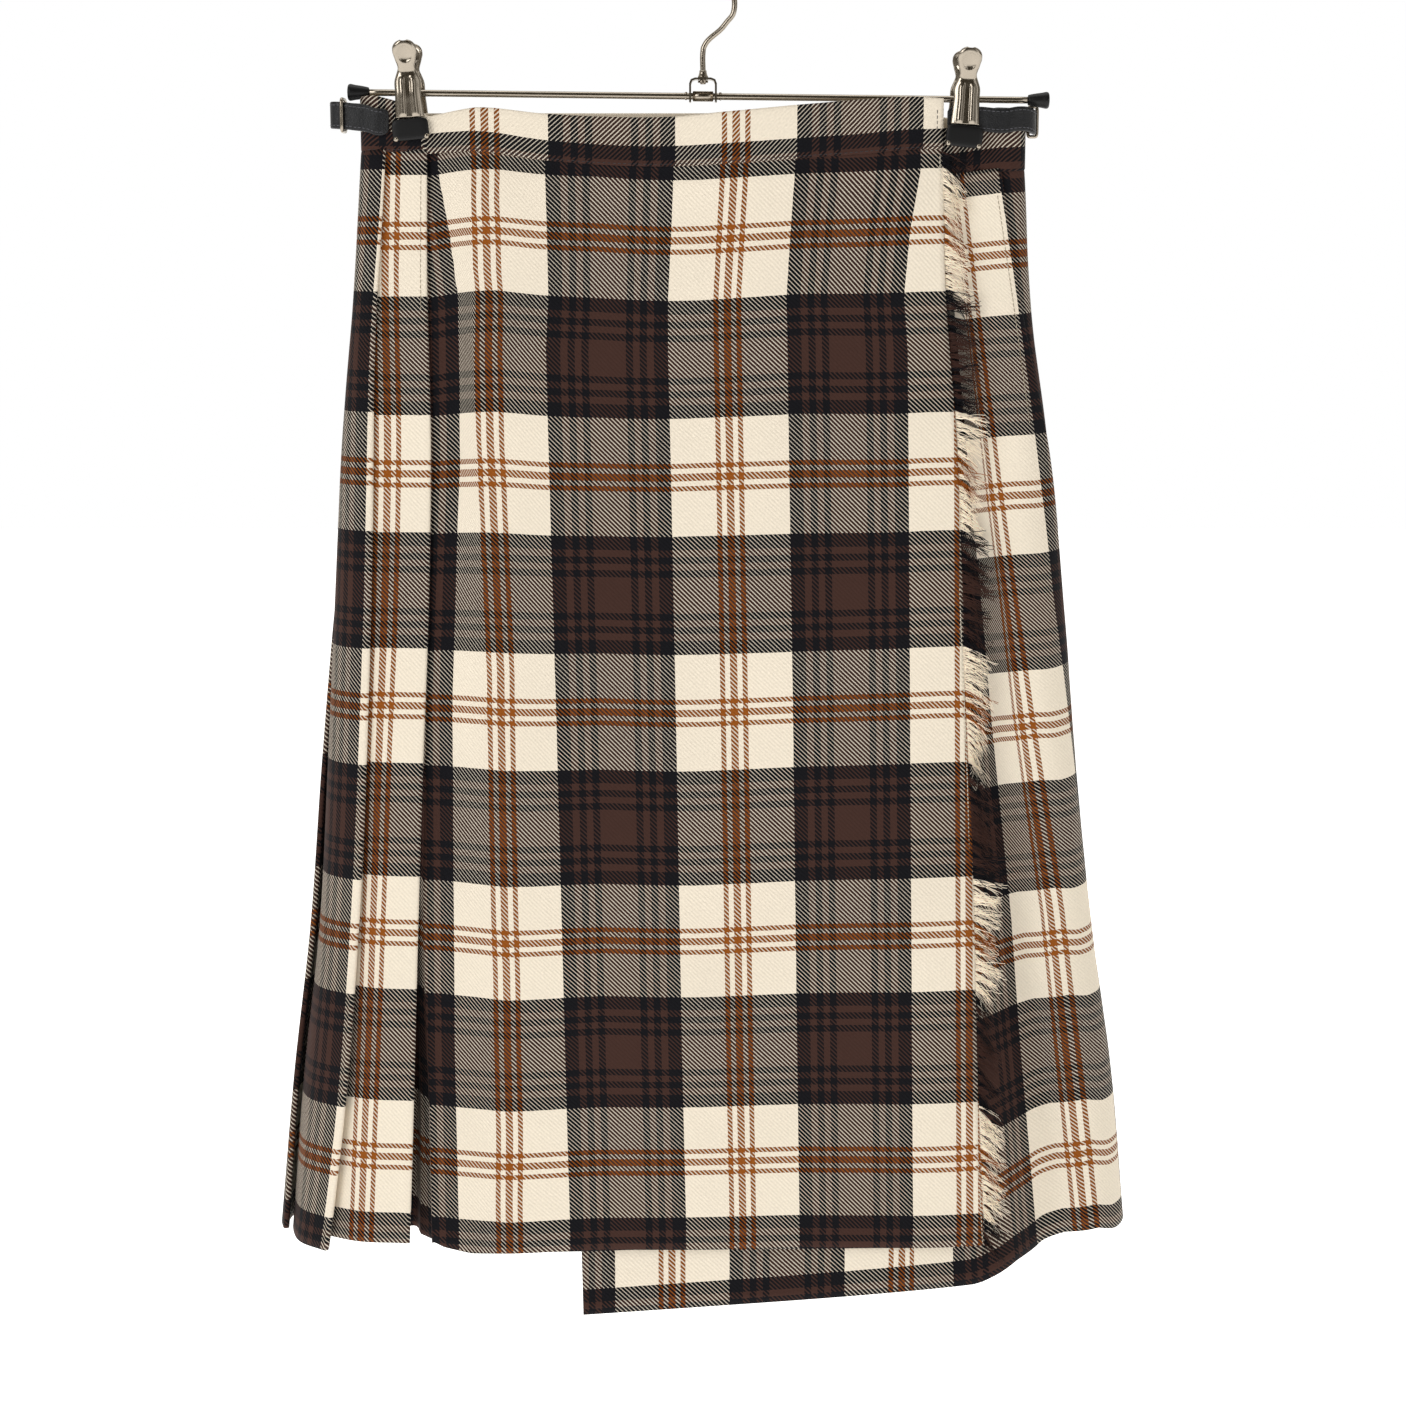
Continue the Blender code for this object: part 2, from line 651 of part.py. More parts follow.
def build_hook(top):
    """The wire: a straight shank, a slant to the right and the crown, open on the left."""
    centre = Vector((0, 0, -HOOK_RADIUS + WIRE_RADIUS))
    knee = Vector((0, 0, -0.0355))
    slant = Vector((0.0111, 0, -0.0247))
    points = [Vector((0, 0, top - 2.6 * MM)), knee - Vector((0, 0, 2.5 * MM))]
    points += [knee + Vector((0.2 * MM, 0, -0.9 * MM)), knee + Vector((1.0 * MM, 0, 0.9 * MM))]
    points += [slant - Vector((1.2 * MM, 0, 1.3 * MM)), slant + Vector((0.9 * MM, 0, 1.3 * MM))]
    steps = 18
    begin = math.radians(-18)
    for i in range(steps + 1):
        angle = begin + (HOOK_END - begin) * i / steps
        points.append(centre + HOOK_RADIUS * Vector((math.cos(angle), 0, math.sin(angle))))
    curve_tube("hook", points, WIRE_RADIUS, "steel", resolution=3)
    inner = WIRE_RADIUS + FIT
    seat = top + 0.5 * MM + GAP
    wide, tall = 2.6 * MM, 3.4 * MM
    collar = ((inner + GAP, tall), (wide, 0.6 * MM), (wide, 0), (inner, 0), (inner, tall))
    turned("hook_collar", collar, Vector((0, 0, seat)), "steel")
    foot = ring_profile(inner, wide, 0, 1.1 * MM)
    turned("hook_washer", foot, Vector((0, 0, top - 0.5 * MM - GAP - 1.1 * MM)), "steel")


# Heights down a clip's plate from its top, its half widths and its way out from the
# middle, in millimetres, down to where it runs to its foot. JAW is each foot's way out,
# which is the thickness of the cloth or strap that it holds.
PLATE = {
    "down": (0.0, 1.5, 4.0, 8.5, 13.0, 16.0, 19.0, 25.0, 31.0, 37.4),
    "half": (2.6, 4.6, 5.7, 5.0, 4.0, 5.0, 6.1, 6.2, 6.6, 7.0),
    "out": (17.0, 16.9, 16.3, 14.3, 12.4, 11.6, 11.4, 12.1),
}
FOOT = (18.4 * MM, 3.4 * MM, 10.8 * MM)
JAW = {
    "clip_left_front": 10.0, "clip_left_rear": 11.15,
    "clip_right_front": 11.2, "clip_right_rear": 11.15,
}
SPRING_REACH = 10.8 * MM
SPRING_CROWN = BAR_RADIUS + GAP + 0.6 * MM


def clip_frame(side):
    """A clip's own axes: its middle at the bar, leaning with its hang."""
    x = CLIPS[side]
    return Matrix.Translation(bar_point(x)) @ Matrix.Rotation(CLIP_LEAN[side], 4, "Y")


def plate_out(foot_out):
    """The plate's way out, row by row, ending over the middle of its foot."""
    upper = np.array(PLATE["out"]) * MM
    return np.concatenate((upper, ((upper[-1] + foot_out) / 2, foot_out)))


def build_clip(side):
    """A clip's two ribbed plates with their feet, and its spring."""
    frame = clip_frame(side)
    above = CLIP_TOP[side] - bar_point(CLIPS[side]).z
    down = np.array(PLATE["down"]) * MM
    half = np.array(PLATE["half"]) * MM
    across = np.linspace(-1, 1, 9)
    rib = np.where(np.isin(np.arange(9), (2, 6)), 0.7 * MM, 0)
    for face, way in (("front", -1), ("rear", 1)):
        name = "clip_%s_%s" % (side, face)
        foot_out = JAW[name] * MM + FOOT[1] / 2
        rows = []
        for d, w, o in zip(down, half, plate_out(foot_out)):
            raised = rib * (17 * MM < d < 36 * MM)
            curl = 0.8 * MM * np.abs(across) ** 4
            y = way * (o + raised - curl)
            rows.append(np.stack((across * w, y, above - d + 0 * y), -1))
        plate = grid_surface(name, np.array(rows))
        thicken(plate, PLATE_WALL)
        plate.matrix_world = frame
        link(plate, "steel")
        low = above - down[-1] - GAP - FOOT[2] / 2 - 0.1 * MM
        place = frame @ Vector((0, way * foot_out, low))
        turn = Matrix.Rotation(CLIP_LEAN[side], 4, "Y")
        box(name + "_foot", FOOT, place, "rubber", 0.8 * MM, turn)
    build_spring(side, frame)


def build_spring(side, frame):
    """A flat spring over the bar that carries the plates and presses their feet together."""
    foot = [(-SPRING_REACH, -1.2 * MM)]
    arch = []
    for i in range(13):
        angle = math.pi * i / 12
        arch.append((-SPRING_REACH * math.cos(angle), SPRING_CROWN * math.sin(angle) ** 0.5))
    path = foot + arch + [(-y, z) for y, z in foot]
    width = 4.2 * MM
    points = np.array([[(x, y, z) for y, z in path] for x in (-width, width)])
    spring = grid_surface("clip_%s_spring" % side, points)
    thicken(spring, SPRING_WALL)
    spring.matrix_world = frame
    link(spring, "steel")


# Straps: the middle line seen from above, and its height, in millimetres. The ends
# lie on the waistband and the rest stands off the hip.
STRAPS = {
    "left": {
        "x": (-168.0, -176.0, -182.5, -186.4, -187.6, -186.2, -182.0, -176.0, -168.0),
        "y": (-9.9, -8.6, -6.6, -4.6, -2.2, 0.2, 3.0, 6.8, 11.6),
        "z": (-71.6, -70.4, -69.6, -69.4, -69.4, -69.4, -69.6, -69.8, -70.0),
        "front": (15.5, 5.1, -72.8),
        "back": (14.0, 5.0, -70.0),
        "height": 13.4,
    },
    "right": {
        "x": (152.0, 158.5, 164.0, 167.0, 167.8, 167.6, 166.0, 161.0),
        "y": (-11.5, -10.4, -7.9, -4.4, 0.5, 5.8, 9.6, 12.0),
        "z": (-72.4, -71.4, -71.6, -72.8, -72.9, -72.4, -71.8, -71.4),
        "front": (40.5, 4.2, -71.5),
        "back": (17.0, 5.0, -71.0),
        "height": 12.2,
    },
}


def strap_line(side):
    """World points of a strap's middle line, from the front of the waistband to its back."""
    table = STRAPS[side]
    left = side == "left"
    hip = WAIST.left_side if left else WAIST.right_side
    way = -1 if left else 1
    ends = []
    for name, turn in (("front", way), ("back", -way)):
        far, out, z = table[name]
        x, y = WAIST.place(hip + turn * far * MM, out * MM)
        inner = 0.6 if name == "front" else 0.85
        x2, y2 = WAIST.place(hip + turn * far * inner * MM, (out + 0.2) * MM)
        pair = [(float(x), float(y), z * MM), (float(x2), float(y2), z * MM)]
        ends.append(pair)
    middle = [(x * MM, y * MM, z * MM) for x, y, z in zip(table["x"], table["y"], table["z"])]
    route = ends[0] + middle + ends[1][::-1]
    return even_line(np.array(route), STRAP_POINTS)


def even_line(route, count):
    """Points evenly spaced on a smooth curve through a route."""
    steps = np.concatenate(([0], np.cumsum(np.linalg.norm(np.diff(route, axis=0), axis=1))))
    slope = np.gradient(route, steps, axis=0)
    at = np.linspace(0, steps[-1], count)
    k = np.clip(np.searchsorted(steps, at, side="right") - 1, 0, len(steps) - 2)
    width = (steps[k + 1] - steps[k])[:, None]
    t = (at[:, None] - steps[k][:, None]) / width
    start = (2 * t**3 - 3 * t**2 + 1) * route[k] + (t**3 - 2 * t**2 + t) * width * slope[k]
    end = (3 * t**2 - 2 * t**3) * route[k + 1] + (t**3 - t**2) * width * slope[k + 1]
    return start + end


def leather(name, line, height, wall):
    """A flat strip of leather standing on edge along a line."""
    rows = [line + np.array((0, 0, height * (share - 0.5))) for share in (0, 0.5, 1)]
    obj = grid_surface(name, np.array(rows))
    thicken(obj, wall)
    return link(obj, "leather")


def build_strap(side):
    """A strap round the hip, with its buckle."""
    height = STRAPS[side]["height"] * MM
    leather("strap_" + side, strap_line(side), height, STRAP_WALL)
    build_buckle(side, height)


def build_buckle(side, height):
    """A wire frame round the strap: edge-on at the left, across the strap at the right."""
    centre, across, half = BUCKLES[side]
    centre = Vector(centre) * MM
    across = Vector(across) * half * MM
    up = Vector((0, 0, height / 2 + GAP + BUCKLE_WIRE + 0.1 * MM))
    corners = (centre - across - up, centre + across - up, centre + across + up, centre - across + up)
    points = []
    for i, corner in enumerate(corners):
        before = (corners[i - 1] - corner).normalized()
        after = (corners[(i + 1) % 4] - corner).normalized()
        ease = BUCKLE_CORNER
        points.append(corner + before * ease)
        points.append(corner + (before + after) * ease * 0.3)
        points.append(corner + after * ease)
    curve_tube("buckle_" + side, points, BUCKLE_WIRE, "steel", cyclic=True)


def build_hanger():
    """The bar, bracket, hook and clips."""
    build_bar()
    top = build_bracket()
    build_hook(top)
    for side in CLIPS:
        build_clip(side)


build_cloth()
build_waistband()
build_fringe()
build_hanger()
for side_name in STRAPS:
    build_strap(side_name)
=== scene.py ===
"""Finished surfaces of a pleated tartan wrap skirt on a clip hanger.

Metres, +Z up, the skirt's front facing -Y, the origin inside the hook's crown. Every cloth
surface is worked out from u, the distance round the skirt from the first fold on the left of
the front, to the left, round the back and on to the right of the front; h, the height outwards
from the innermost line; and v, from 0 at the waist seam to 1 at the hem.
"""
import math

import bpy
import numpy as np
from mathutils import Matrix, Vector


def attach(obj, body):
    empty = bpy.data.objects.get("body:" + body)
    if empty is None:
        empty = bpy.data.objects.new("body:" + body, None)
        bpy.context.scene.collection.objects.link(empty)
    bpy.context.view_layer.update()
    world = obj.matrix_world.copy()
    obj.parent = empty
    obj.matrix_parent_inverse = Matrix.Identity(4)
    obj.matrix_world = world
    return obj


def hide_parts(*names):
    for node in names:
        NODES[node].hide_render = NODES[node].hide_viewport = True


bl_info = {
    "name": "Pleated tartan wrap skirt",
    "version": (1, 0, 0),
    "blender": (4, 5, 0),
    "location": "View3D > Sidebar > Skirt",
    "description": "Knife-pleated tartan wrap skirt with a fringed apron, hung on a clip hanger",
    "category": "Object",
}

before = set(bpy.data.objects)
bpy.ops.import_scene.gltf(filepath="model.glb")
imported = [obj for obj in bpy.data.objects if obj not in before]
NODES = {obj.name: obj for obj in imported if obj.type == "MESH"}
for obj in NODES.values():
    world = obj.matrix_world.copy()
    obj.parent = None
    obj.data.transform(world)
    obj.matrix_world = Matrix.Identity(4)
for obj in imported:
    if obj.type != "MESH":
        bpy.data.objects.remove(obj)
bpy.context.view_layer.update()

MM = 0.001
GAP = 0.3 * MM

# Cloth, as the solids have it
WALL = 1.0 * MM
LAYER = 1.5 * MM
LOOSE_LAYER = 2.25 * MM
CLOTH_LENGTH = 575 * MM
FRONT_LENGTH_Z = -664 * MM
FRONT_DROP = 577 * MM
PLEATS = 15
# The two folds by the left hip: x of the first on the front, and how far round from the hip's
# outermost point the second lies, in mm
HIP_FOLDS = {
    "v": (0.00, 0.15, 0.43, 0.70, 0.95, 1.00),
    "first_x": (-161.0, -167.0, -172.0, -179.6, -193.8, -197.8),
    "past_hip": (14.0, 14.0, 6.0, -4.0, -13.0, -15.0),
}
# Clearances, and the shape of the sides' ends: their depth against their width
BASE_CLEAR = 0.6 * MM
APRON_LAY = 1.4 * MM
SINK = 5.5 * MM
SLOT = 13 * MM
OUTLINE_TURN = 361
OUTLINE_RUN = 400
SIDE_SHAPE = 1.15
# Levels from the waist seam to the hem: the outline's x and y at its sides, front and back, how
# far back the sides lie, where the folds and free edges are, and the pleats' step and depth.
# Lengths are in mm; folded is a share of the pitch.
COLUMNS = (
    "v", "left", "right", "front", "back", "side_left", "side_right", "fold_x",
    "last_fold", "fringe_x", "free_x", "step", "folded", "open_gap", "hollow",
)
SECTIONS = (
    (0.00, -174.5, 164.5, -9.5, 11.0, 1.0, 1.0, -140.2, 14, 121.0, -70, 3.1, 0.28, 1.5, 0),
    (0.12, -180.3, 170.3, -11.0, 17.0, 3.6, 5.5, -141.1, 11, 123.0, -69, 3.3, 0.36, 1.5, 0),
    (0.25, -188.8, 182.3, -13.0, 26.0, 7.5, 11.0, -140.5, 8, 129.6, -68, 3.5, 0.52, 1.5, 0),
    (0.40, -196.0, 190.9, -15.5, 37.0, 12.0, 17.5, -142.8, 3, 134.3, -67, 4.1, 0.70, 1.5, 1),
    (0.55, -203.2, 201.4, -18.0, 47.0, 16.5, 24.0, -147.0, -8, 139.0, -66, 4.7, 0.80, 2.0, 6),
    (0.70, -211.0, 214.0, -20.5, 56.0, 20.5, 30.0, -150.7, -18, 142.3, -65, 5.0, 0.85, 4.0, 13),
    (0.85, -223.2, 229.3, -23.0, 64.0, 24.5, 36.5, -154.0, -28, 145.6, -66, 5.2, 0.85, 9.0, 19),
    (1.00, -233.0, 240.5, -25.0, 71.0, 28.0, 42.0, -157.5, -38, 151.0, -64.5, 5.4, 0.85, 13.0, 22),
)
TABLE = {name: np.array(column) for name, column in zip(COLUMNS, zip(*SECTIONS))}
ROWS = 110
SEAM_VALLEY = 1.2 * MM
# The cloth goes this far up into the waistband, as it is sewn, and is pressed to this share of
# its height out.
TUCK = 2.4 * MM
TUCKED = 0.25
# Points across the layer under a fold and round the fold
LAYER_POINTS = 7
FOLD_POINTS = 5
# The waist seam's z along the outer apron, from the fold to the fringe, in mm
SAG = {
    "share": (0.00, 0.10, 0.23, 0.34, 0.48, 0.57, 0.72, 0.84, 0.94, 1.00),
    "seam": (-89.6, -88.2, -92.6, -94.9, -95.6, -94.3, -91.7, -89.6, -87.4, -87.0),
}
# z of the seam and the hem at the two ends of the pleats and of the inner apron
PLEAT_SEAM = (-88.5 * MM, -98.3 * MM)
PLEAT_HEM = (-663 * MM, -677 * MM)
INNER_SEAM = (-98.3 * MM, -125.0 * MM)
INNER_HEM = (-677 * MM, -703 * MM)
# Each node's first and last pleat, counted from the left of the front
PLEAT_NODES = (("pleats_left", 0, 3), ("pleats_back_left", 4, 7),
               ("pleats_back_right", 8, 11), ("pleats_right", 12, 14))

# Waistband
BAND_HEIGHT = 25 * MM
BAND_WALL = 2.2 * MM
BAND_JOIN = 45 * MM
HIP_BAND = 2.6 * MM
BAND_LAY = 0.1 * MM

# Tartan: half the sett, from the middle of the light block to the middle of the dark one
THREAD = 0.5875 * MM
STRIPES = (
    ("rust", 3), ("cream", 4.5), ("rust", 4.5), ("cream", 40), ("black", 12),
    ("brown", 6), ("black", 6), ("brown", 6), ("black", 6), ("brown", 16),
)
HALF_SETT = sum(count for _, count in STRIPES)
BLOCK = HALF_SETT * THREAD
TWILL_THREADS = 4
# The stripes' edges waver by this much, as yarns do.
FRAY = 0.35 * MM
# Where dark and light yarns cross, the dark ones cover more and shade the light ones.
DARK_GAIN = 0.27
CROSSED_SHADE = 0.38
# Distance from the seam to the middle of the first light row
FIRST_ROW = 38.3 * MM
INNER_ROW = 1.9 * MM
ROW_PITCH = 60.8 * MM
# The rows lie this much further apart towards the hem.
HEM_EASE = 4.2 * MM
# Where the dark and light columns of the outer apron meet, from the fold to the fringe, by
# level in mm
APRON_COLUMNS = {
    "z": (-97, -127, -160, -187, -245, -366, -553, -650),
    "first": (-133.8, -128.3, -124.0, -124.0, -124.2, -129.9, -131.3, -130.4),
    "second": (-79.8, -79.1, -78.6, -80.1, -79.0, -76.5, -73.0, -71.0),
    "third": (-14.8, -16.0, -17.7, -17.8, -16.5, -14.2, -11.1, -9.0),
    "fourth": (46.4, 44.3, 42.4, 43.0, 44.1, 46.6, 49.8, 51.6),
    "fifth": (109.9, 104.8, 102.1, 104.3, 105.4, 107.6, 110.6, 112.4),
}
COLUMN_NAMES = ("first", "second", "third", "fourth", "fifth")
# How far the middle of its first light column lies left of half way, where the cloth slopes in
# beside the fold, in mm; the thin lines either side of it keep their spacing.
MIDDLE_SHIFT = {
    "z": (-97, -112, -147, -235, -271, -354, -475, -515, -600, -642),
    "shift": (3.0, 4.9, 7.2, 7.1, 5.5, 1.6, 1.5, 1.0, 1.2, 2.6),
}
LINES_HALF = 7.5 * MM
# x where the waistband's own dark and light columns meet, in mm
BAND_COLUMNS = (-141.9, -78.0, -14.0, 47.4, 111.0)
# How far the light column's middle lies to the left of a pleat's fold, in mm
HIP_MIDDLES = {
    "v": (0.00, 0.10, 0.20, 0.32, 0.44, 0.62, 0.75, 0.88, 1.00),
    "first": (19.4, 20.6, 21.0, 21.6, 22.2, 23.0, 23.8, 25.2, 25.6),
    "second": (-30.4, -30.2, -29.2, -28.6, -28.2, -27.6, -27.6, -27.6, -27.6),
}
# Rise of the first pleat's rows above the others' by level, and of the first pleats' hems, in mm
ROW_RISE = {"v": (0.00, 0.14, 0.50, 0.85, 1.00), "rise": (-2.8, -2.6, 0.6, 4.0, 4.2)}
HEM_LIFT = {0: 3.3, 1: -2.6}
# How far left of the last fold its light column's middle lies, and how much further left the
# middle lies for each pleat before that
LAST_MIDDLE = -40 * MM
PLEAT_ADVANCE = 50.9 * MM

FLOOR_Z = -0.95
FLOOR_HALF = 6.0
CAMERA_PLACE = (0.0, -1.415, -0.122)
CAMERA_TILT = math.radians(80)

# Hanger, as the solids have it
BAR_RADIUS = 1.7 * MM
BAR_LEFT = Vector((-0.1755, 0, -0.0580))
BAR_RIGHT = Vector((0.1710, 0, -0.0619))
BAR_TURN = (BAR_RIGHT - BAR_LEFT).to_track_quat("Z", "Y").to_matrix().to_4x4()
HOOK_RADIUS = 15.9 * MM
WIRE_RADIUS = 1.4 * MM
HOOK_START = math.radians(-18)
HOOK_END = math.radians(165)
# Clips: x on the bar, z of the tabs' tops, and lean
CLIPS = {"left": -0.1480, "right": 0.1323}
CLIP_TOP = {"left": -0.0334, "right": -0.0369}
CLIP_LEAN = {"left": math.radians(-3), "right": math.radians(3)}
# A clip's plate: distance down, half width there, and how far out from the bar, in mm
PLATE = {
    "down": (0.0, 1.5, 4.0, 8.5, 13.0, 16.0, 19.0, 25.0, 31.0, 37.4),
    "half": (2.6, 4.6, 5.7, 5.0, 4.0, 5.0, 6.1, 6.2, 6.6, 7.0),
    "out": (17.0, 16.9, 16.3, 14.3, 12.4, 11.6, 11.4, 12.1),
}
# A clip's foot, and how far out the four jaws stand in mm
FOOT = (18.4 * MM, 3.4 * MM, 10.8 * MM)
JAW = {
    "clip_left_front": 10.0, "clip_left_rear": 11.15,
    "clip_right_front": 11.2, "clip_right_rear": 11.15,
}
PLATE_WALL = 0.9 * MM
SPRING_WALL = 0.7 * MM
SPRING_REACH = 10.8 * MM
SPRING_HALF = 4.2 * MM
SPRING_LEG = 1.2 * MM
SPRING_CROWN = BAR_RADIUS + GAP + 0.6 * MM
STRAP_WALL = 1.8 * MM
BUCKLE_WIRE = 0.9 * MM
# A strap's line round the hip in mm. Its ends lie on the waistband: distance from the hip's
# outermost point, height outwards and z.
STRAPS = {
    "left": {
        "x": (-168.0, -176.0, -182.5, -186.4, -187.6, -186.2, -182.0, -176.0, -168.0),
        "y": (-9.9, -8.6, -6.6, -4.6, -2.2, 0.2, 3.0, 6.8, 11.6),
        "z": (-71.6, -70.4, -69.6, -69.4, -69.4, -69.4, -69.6, -69.8, -70.0),
        "front": (15.5, 5.1, -72.8),
        "back": (14.0, 5.0, -70.0),
        "height": 13.4,
    },
    "right": {
        "x": (152.0, 158.5, 164.0, 167.0, 167.8, 167.6, 166.0, 161.0),
        "y": (-11.5, -10.4, -7.9, -4.4, 0.5, 5.8, 9.6, 12.0),
        "z": (-72.4, -71.4, -71.6, -72.8, -72.9, -72.4, -71.8, -71.4),
        "front": (40.5, 4.2, -71.5),
        "back": (17.0, 5.0, -71.0),
        "height": 12.2,
    },
}
# A buckle's middle in mm, the direction of its width, and half its width in mm
BUCKLES = {
    "left": ((-181.8, -1.9, -69.5), (0, 1, 0), 7.4),
    "right": ((167.6, 5.8, -72.4), (1, 0, 0), 2.3),
}


def hex_colour(code):
    """Linear RGBA of an sRGB hex colour."""
    parts = [int(code[i:i + 2], 16) / 255 for i in (1, 3, 5)]
    linear = [c / 12.92 if c <= 0.04045 else ((c + 0.055) / 1.055) ** 2.4 for c in parts]
    return (*linear, 1.0)


def colour_property(name, description, code):
    return bpy.props.FloatVectorProperty(
        name=name, description=description, subtype="COLOR", size=4, min=0, max=1,
        default=hex_colour(code))


class TartanSettings(bpy.types.PropertyGroup):
    cream: colour_property("Cream", "Undyed wool of the light blocks", "#E6DBC9")
    black: colour_property("Black", "Blue-black wool round the dark blocks", "#101014")
    brown: colour_property("Brown", "Dark brown wool of the dark blocks", "#3F2A24")
    rust: colour_property("Rust", "Orange-brown wool of the thin lines", "#8C4D18")
    crease: bpy.props.FloatProperty(
        name="Crease depth", description="Scale of the soft ridges on the cloth",
        default=1.0, min=0, max=3)


class SewingSettings(bpy.types.PropertyGroup):
    yarns: bpy.props.IntProperty(
        name="Fringe yarns", description="Yarns in the frayed edge",
        default=1900, min=100, max=4000)
    fringe_length: bpy.props.FloatProperty(
        name="Fringe length", description="Length of a yarn past the edge", default=0.0172,
        min=0.002, max=0.05, unit="LENGTH")
    stitch: bpy.props.FloatProperty(
        name="Stitch", description="Length of one machine stitch", default=0.0026,
        min=0.001, max=0.01, unit="LENGTH")
    thread: colour_property("Thread", "Pale sewing thread", "#D8D0BC")


class HangerSettings(bpy.types.PropertyGroup):
    steel: colour_property("Nickel plate", "Plated steel of the hanger", "#9C9386")
    rubber: colour_property("Rubber", "Feet and end caps", "#070708")
    leather: colour_property("Leather", "Straps", "#08090C")


class StageSettings(bpy.types.PropertyGroup):
    paper: colour_property("Backdrop", "White paper behind and below", "#FFFFFF")
    key: bpy.props.FloatProperty(
        name="Key light", description="Power of the large front light",
        default=22.5, min=0, unit="POWER")
    fill: bpy.props.FloatProperty(
        name="Fill light", description="Power of the second front light",
        default=4.5, min=0, unit="POWER")
    top: bpy.props.FloatProperty(
        name="Top light", description="Power of the light overhead",
        default=11.0, min=0, unit="POWER")


# Materials

def feed(tree, node, inputs):
    """Give a node's inputs, by name or number, a value or a link; a node gives its first output."""
    for key, value in inputs.items():
        if isinstance(value, bpy.types.Node):
            value = value.outputs[0]
        if isinstance(value, bpy.types.NodeSocket):
            tree.links.new(value, node.inputs[key])
        else:
            node.inputs[key].default_value = value


def add_node(tree, kind, inputs, **settings):
    """Add a shader node with its settings and what goes into it."""
    node = tree.nodes.new("ShaderNode" + kind)
    for key, value in settings.items():
        setattr(node, key, value)
    feed(tree, node, inputs)
    return node


def new_material(name, values):
    """A Principled material with constant socket values."""
    mat = bpy.data.materials.new(name)
    mat.use_nodes = True
    shader = mat.node_tree.nodes["Principled BSDF"]
    feed(mat.node_tree, shader, values)
    return mat, mat.node_tree, shader


def sett_colours(tree, distance):
    """Stripe colour at a distance in metres from the middle of a light block."""
    settings = bpy.context.scene.skirt_tartan
    threads = add_node(tree, "Math", {0: distance, 1: THREAD}, operation="DIVIDE")
    folded = add_node(tree, "Math", {0: threads, 1: HALF_SETT}, operation="PINGPONG")
    share = add_node(tree, "Math", {0: folded, 1: HALF_SETT}, operation="DIVIDE")
    ramp = add_node(tree, "ValToRGB", {0: share})
    stops = ramp.color_ramp
    stops.interpolation = "CONSTANT"
    at = 0
    for i, (name, count) in enumerate(STRIPES):
        stop = stops.elements[i] if i < 2 else stops.elements.new(at / HALF_SETT)
        stop.position = at / HALF_SETT
        stop.color = tuple(getattr(settings, name))
        at += count
    return ramp


def darkness(tree, colour):
    """How dark a yarn is: 1 for black, less for brown and rust, 0 for cream."""
    ramp = add_node(tree, "ValToRGB", {0: add_node(tree, "RGBToBW", {0: colour})})
    stops = ramp.color_ramp.elements
    for place, value in ((0.03, 0.68), (0.14, 0.42)):
        stops.new(place).color = (value, value, value, 1.0)
    stops[0].color = (1.0, 1.0, 1.0, 1.0)
    stops[-1].position = 0.6
    stops[-1].color = (0.0, 0.0, 0.0, 1.0)
    return ramp


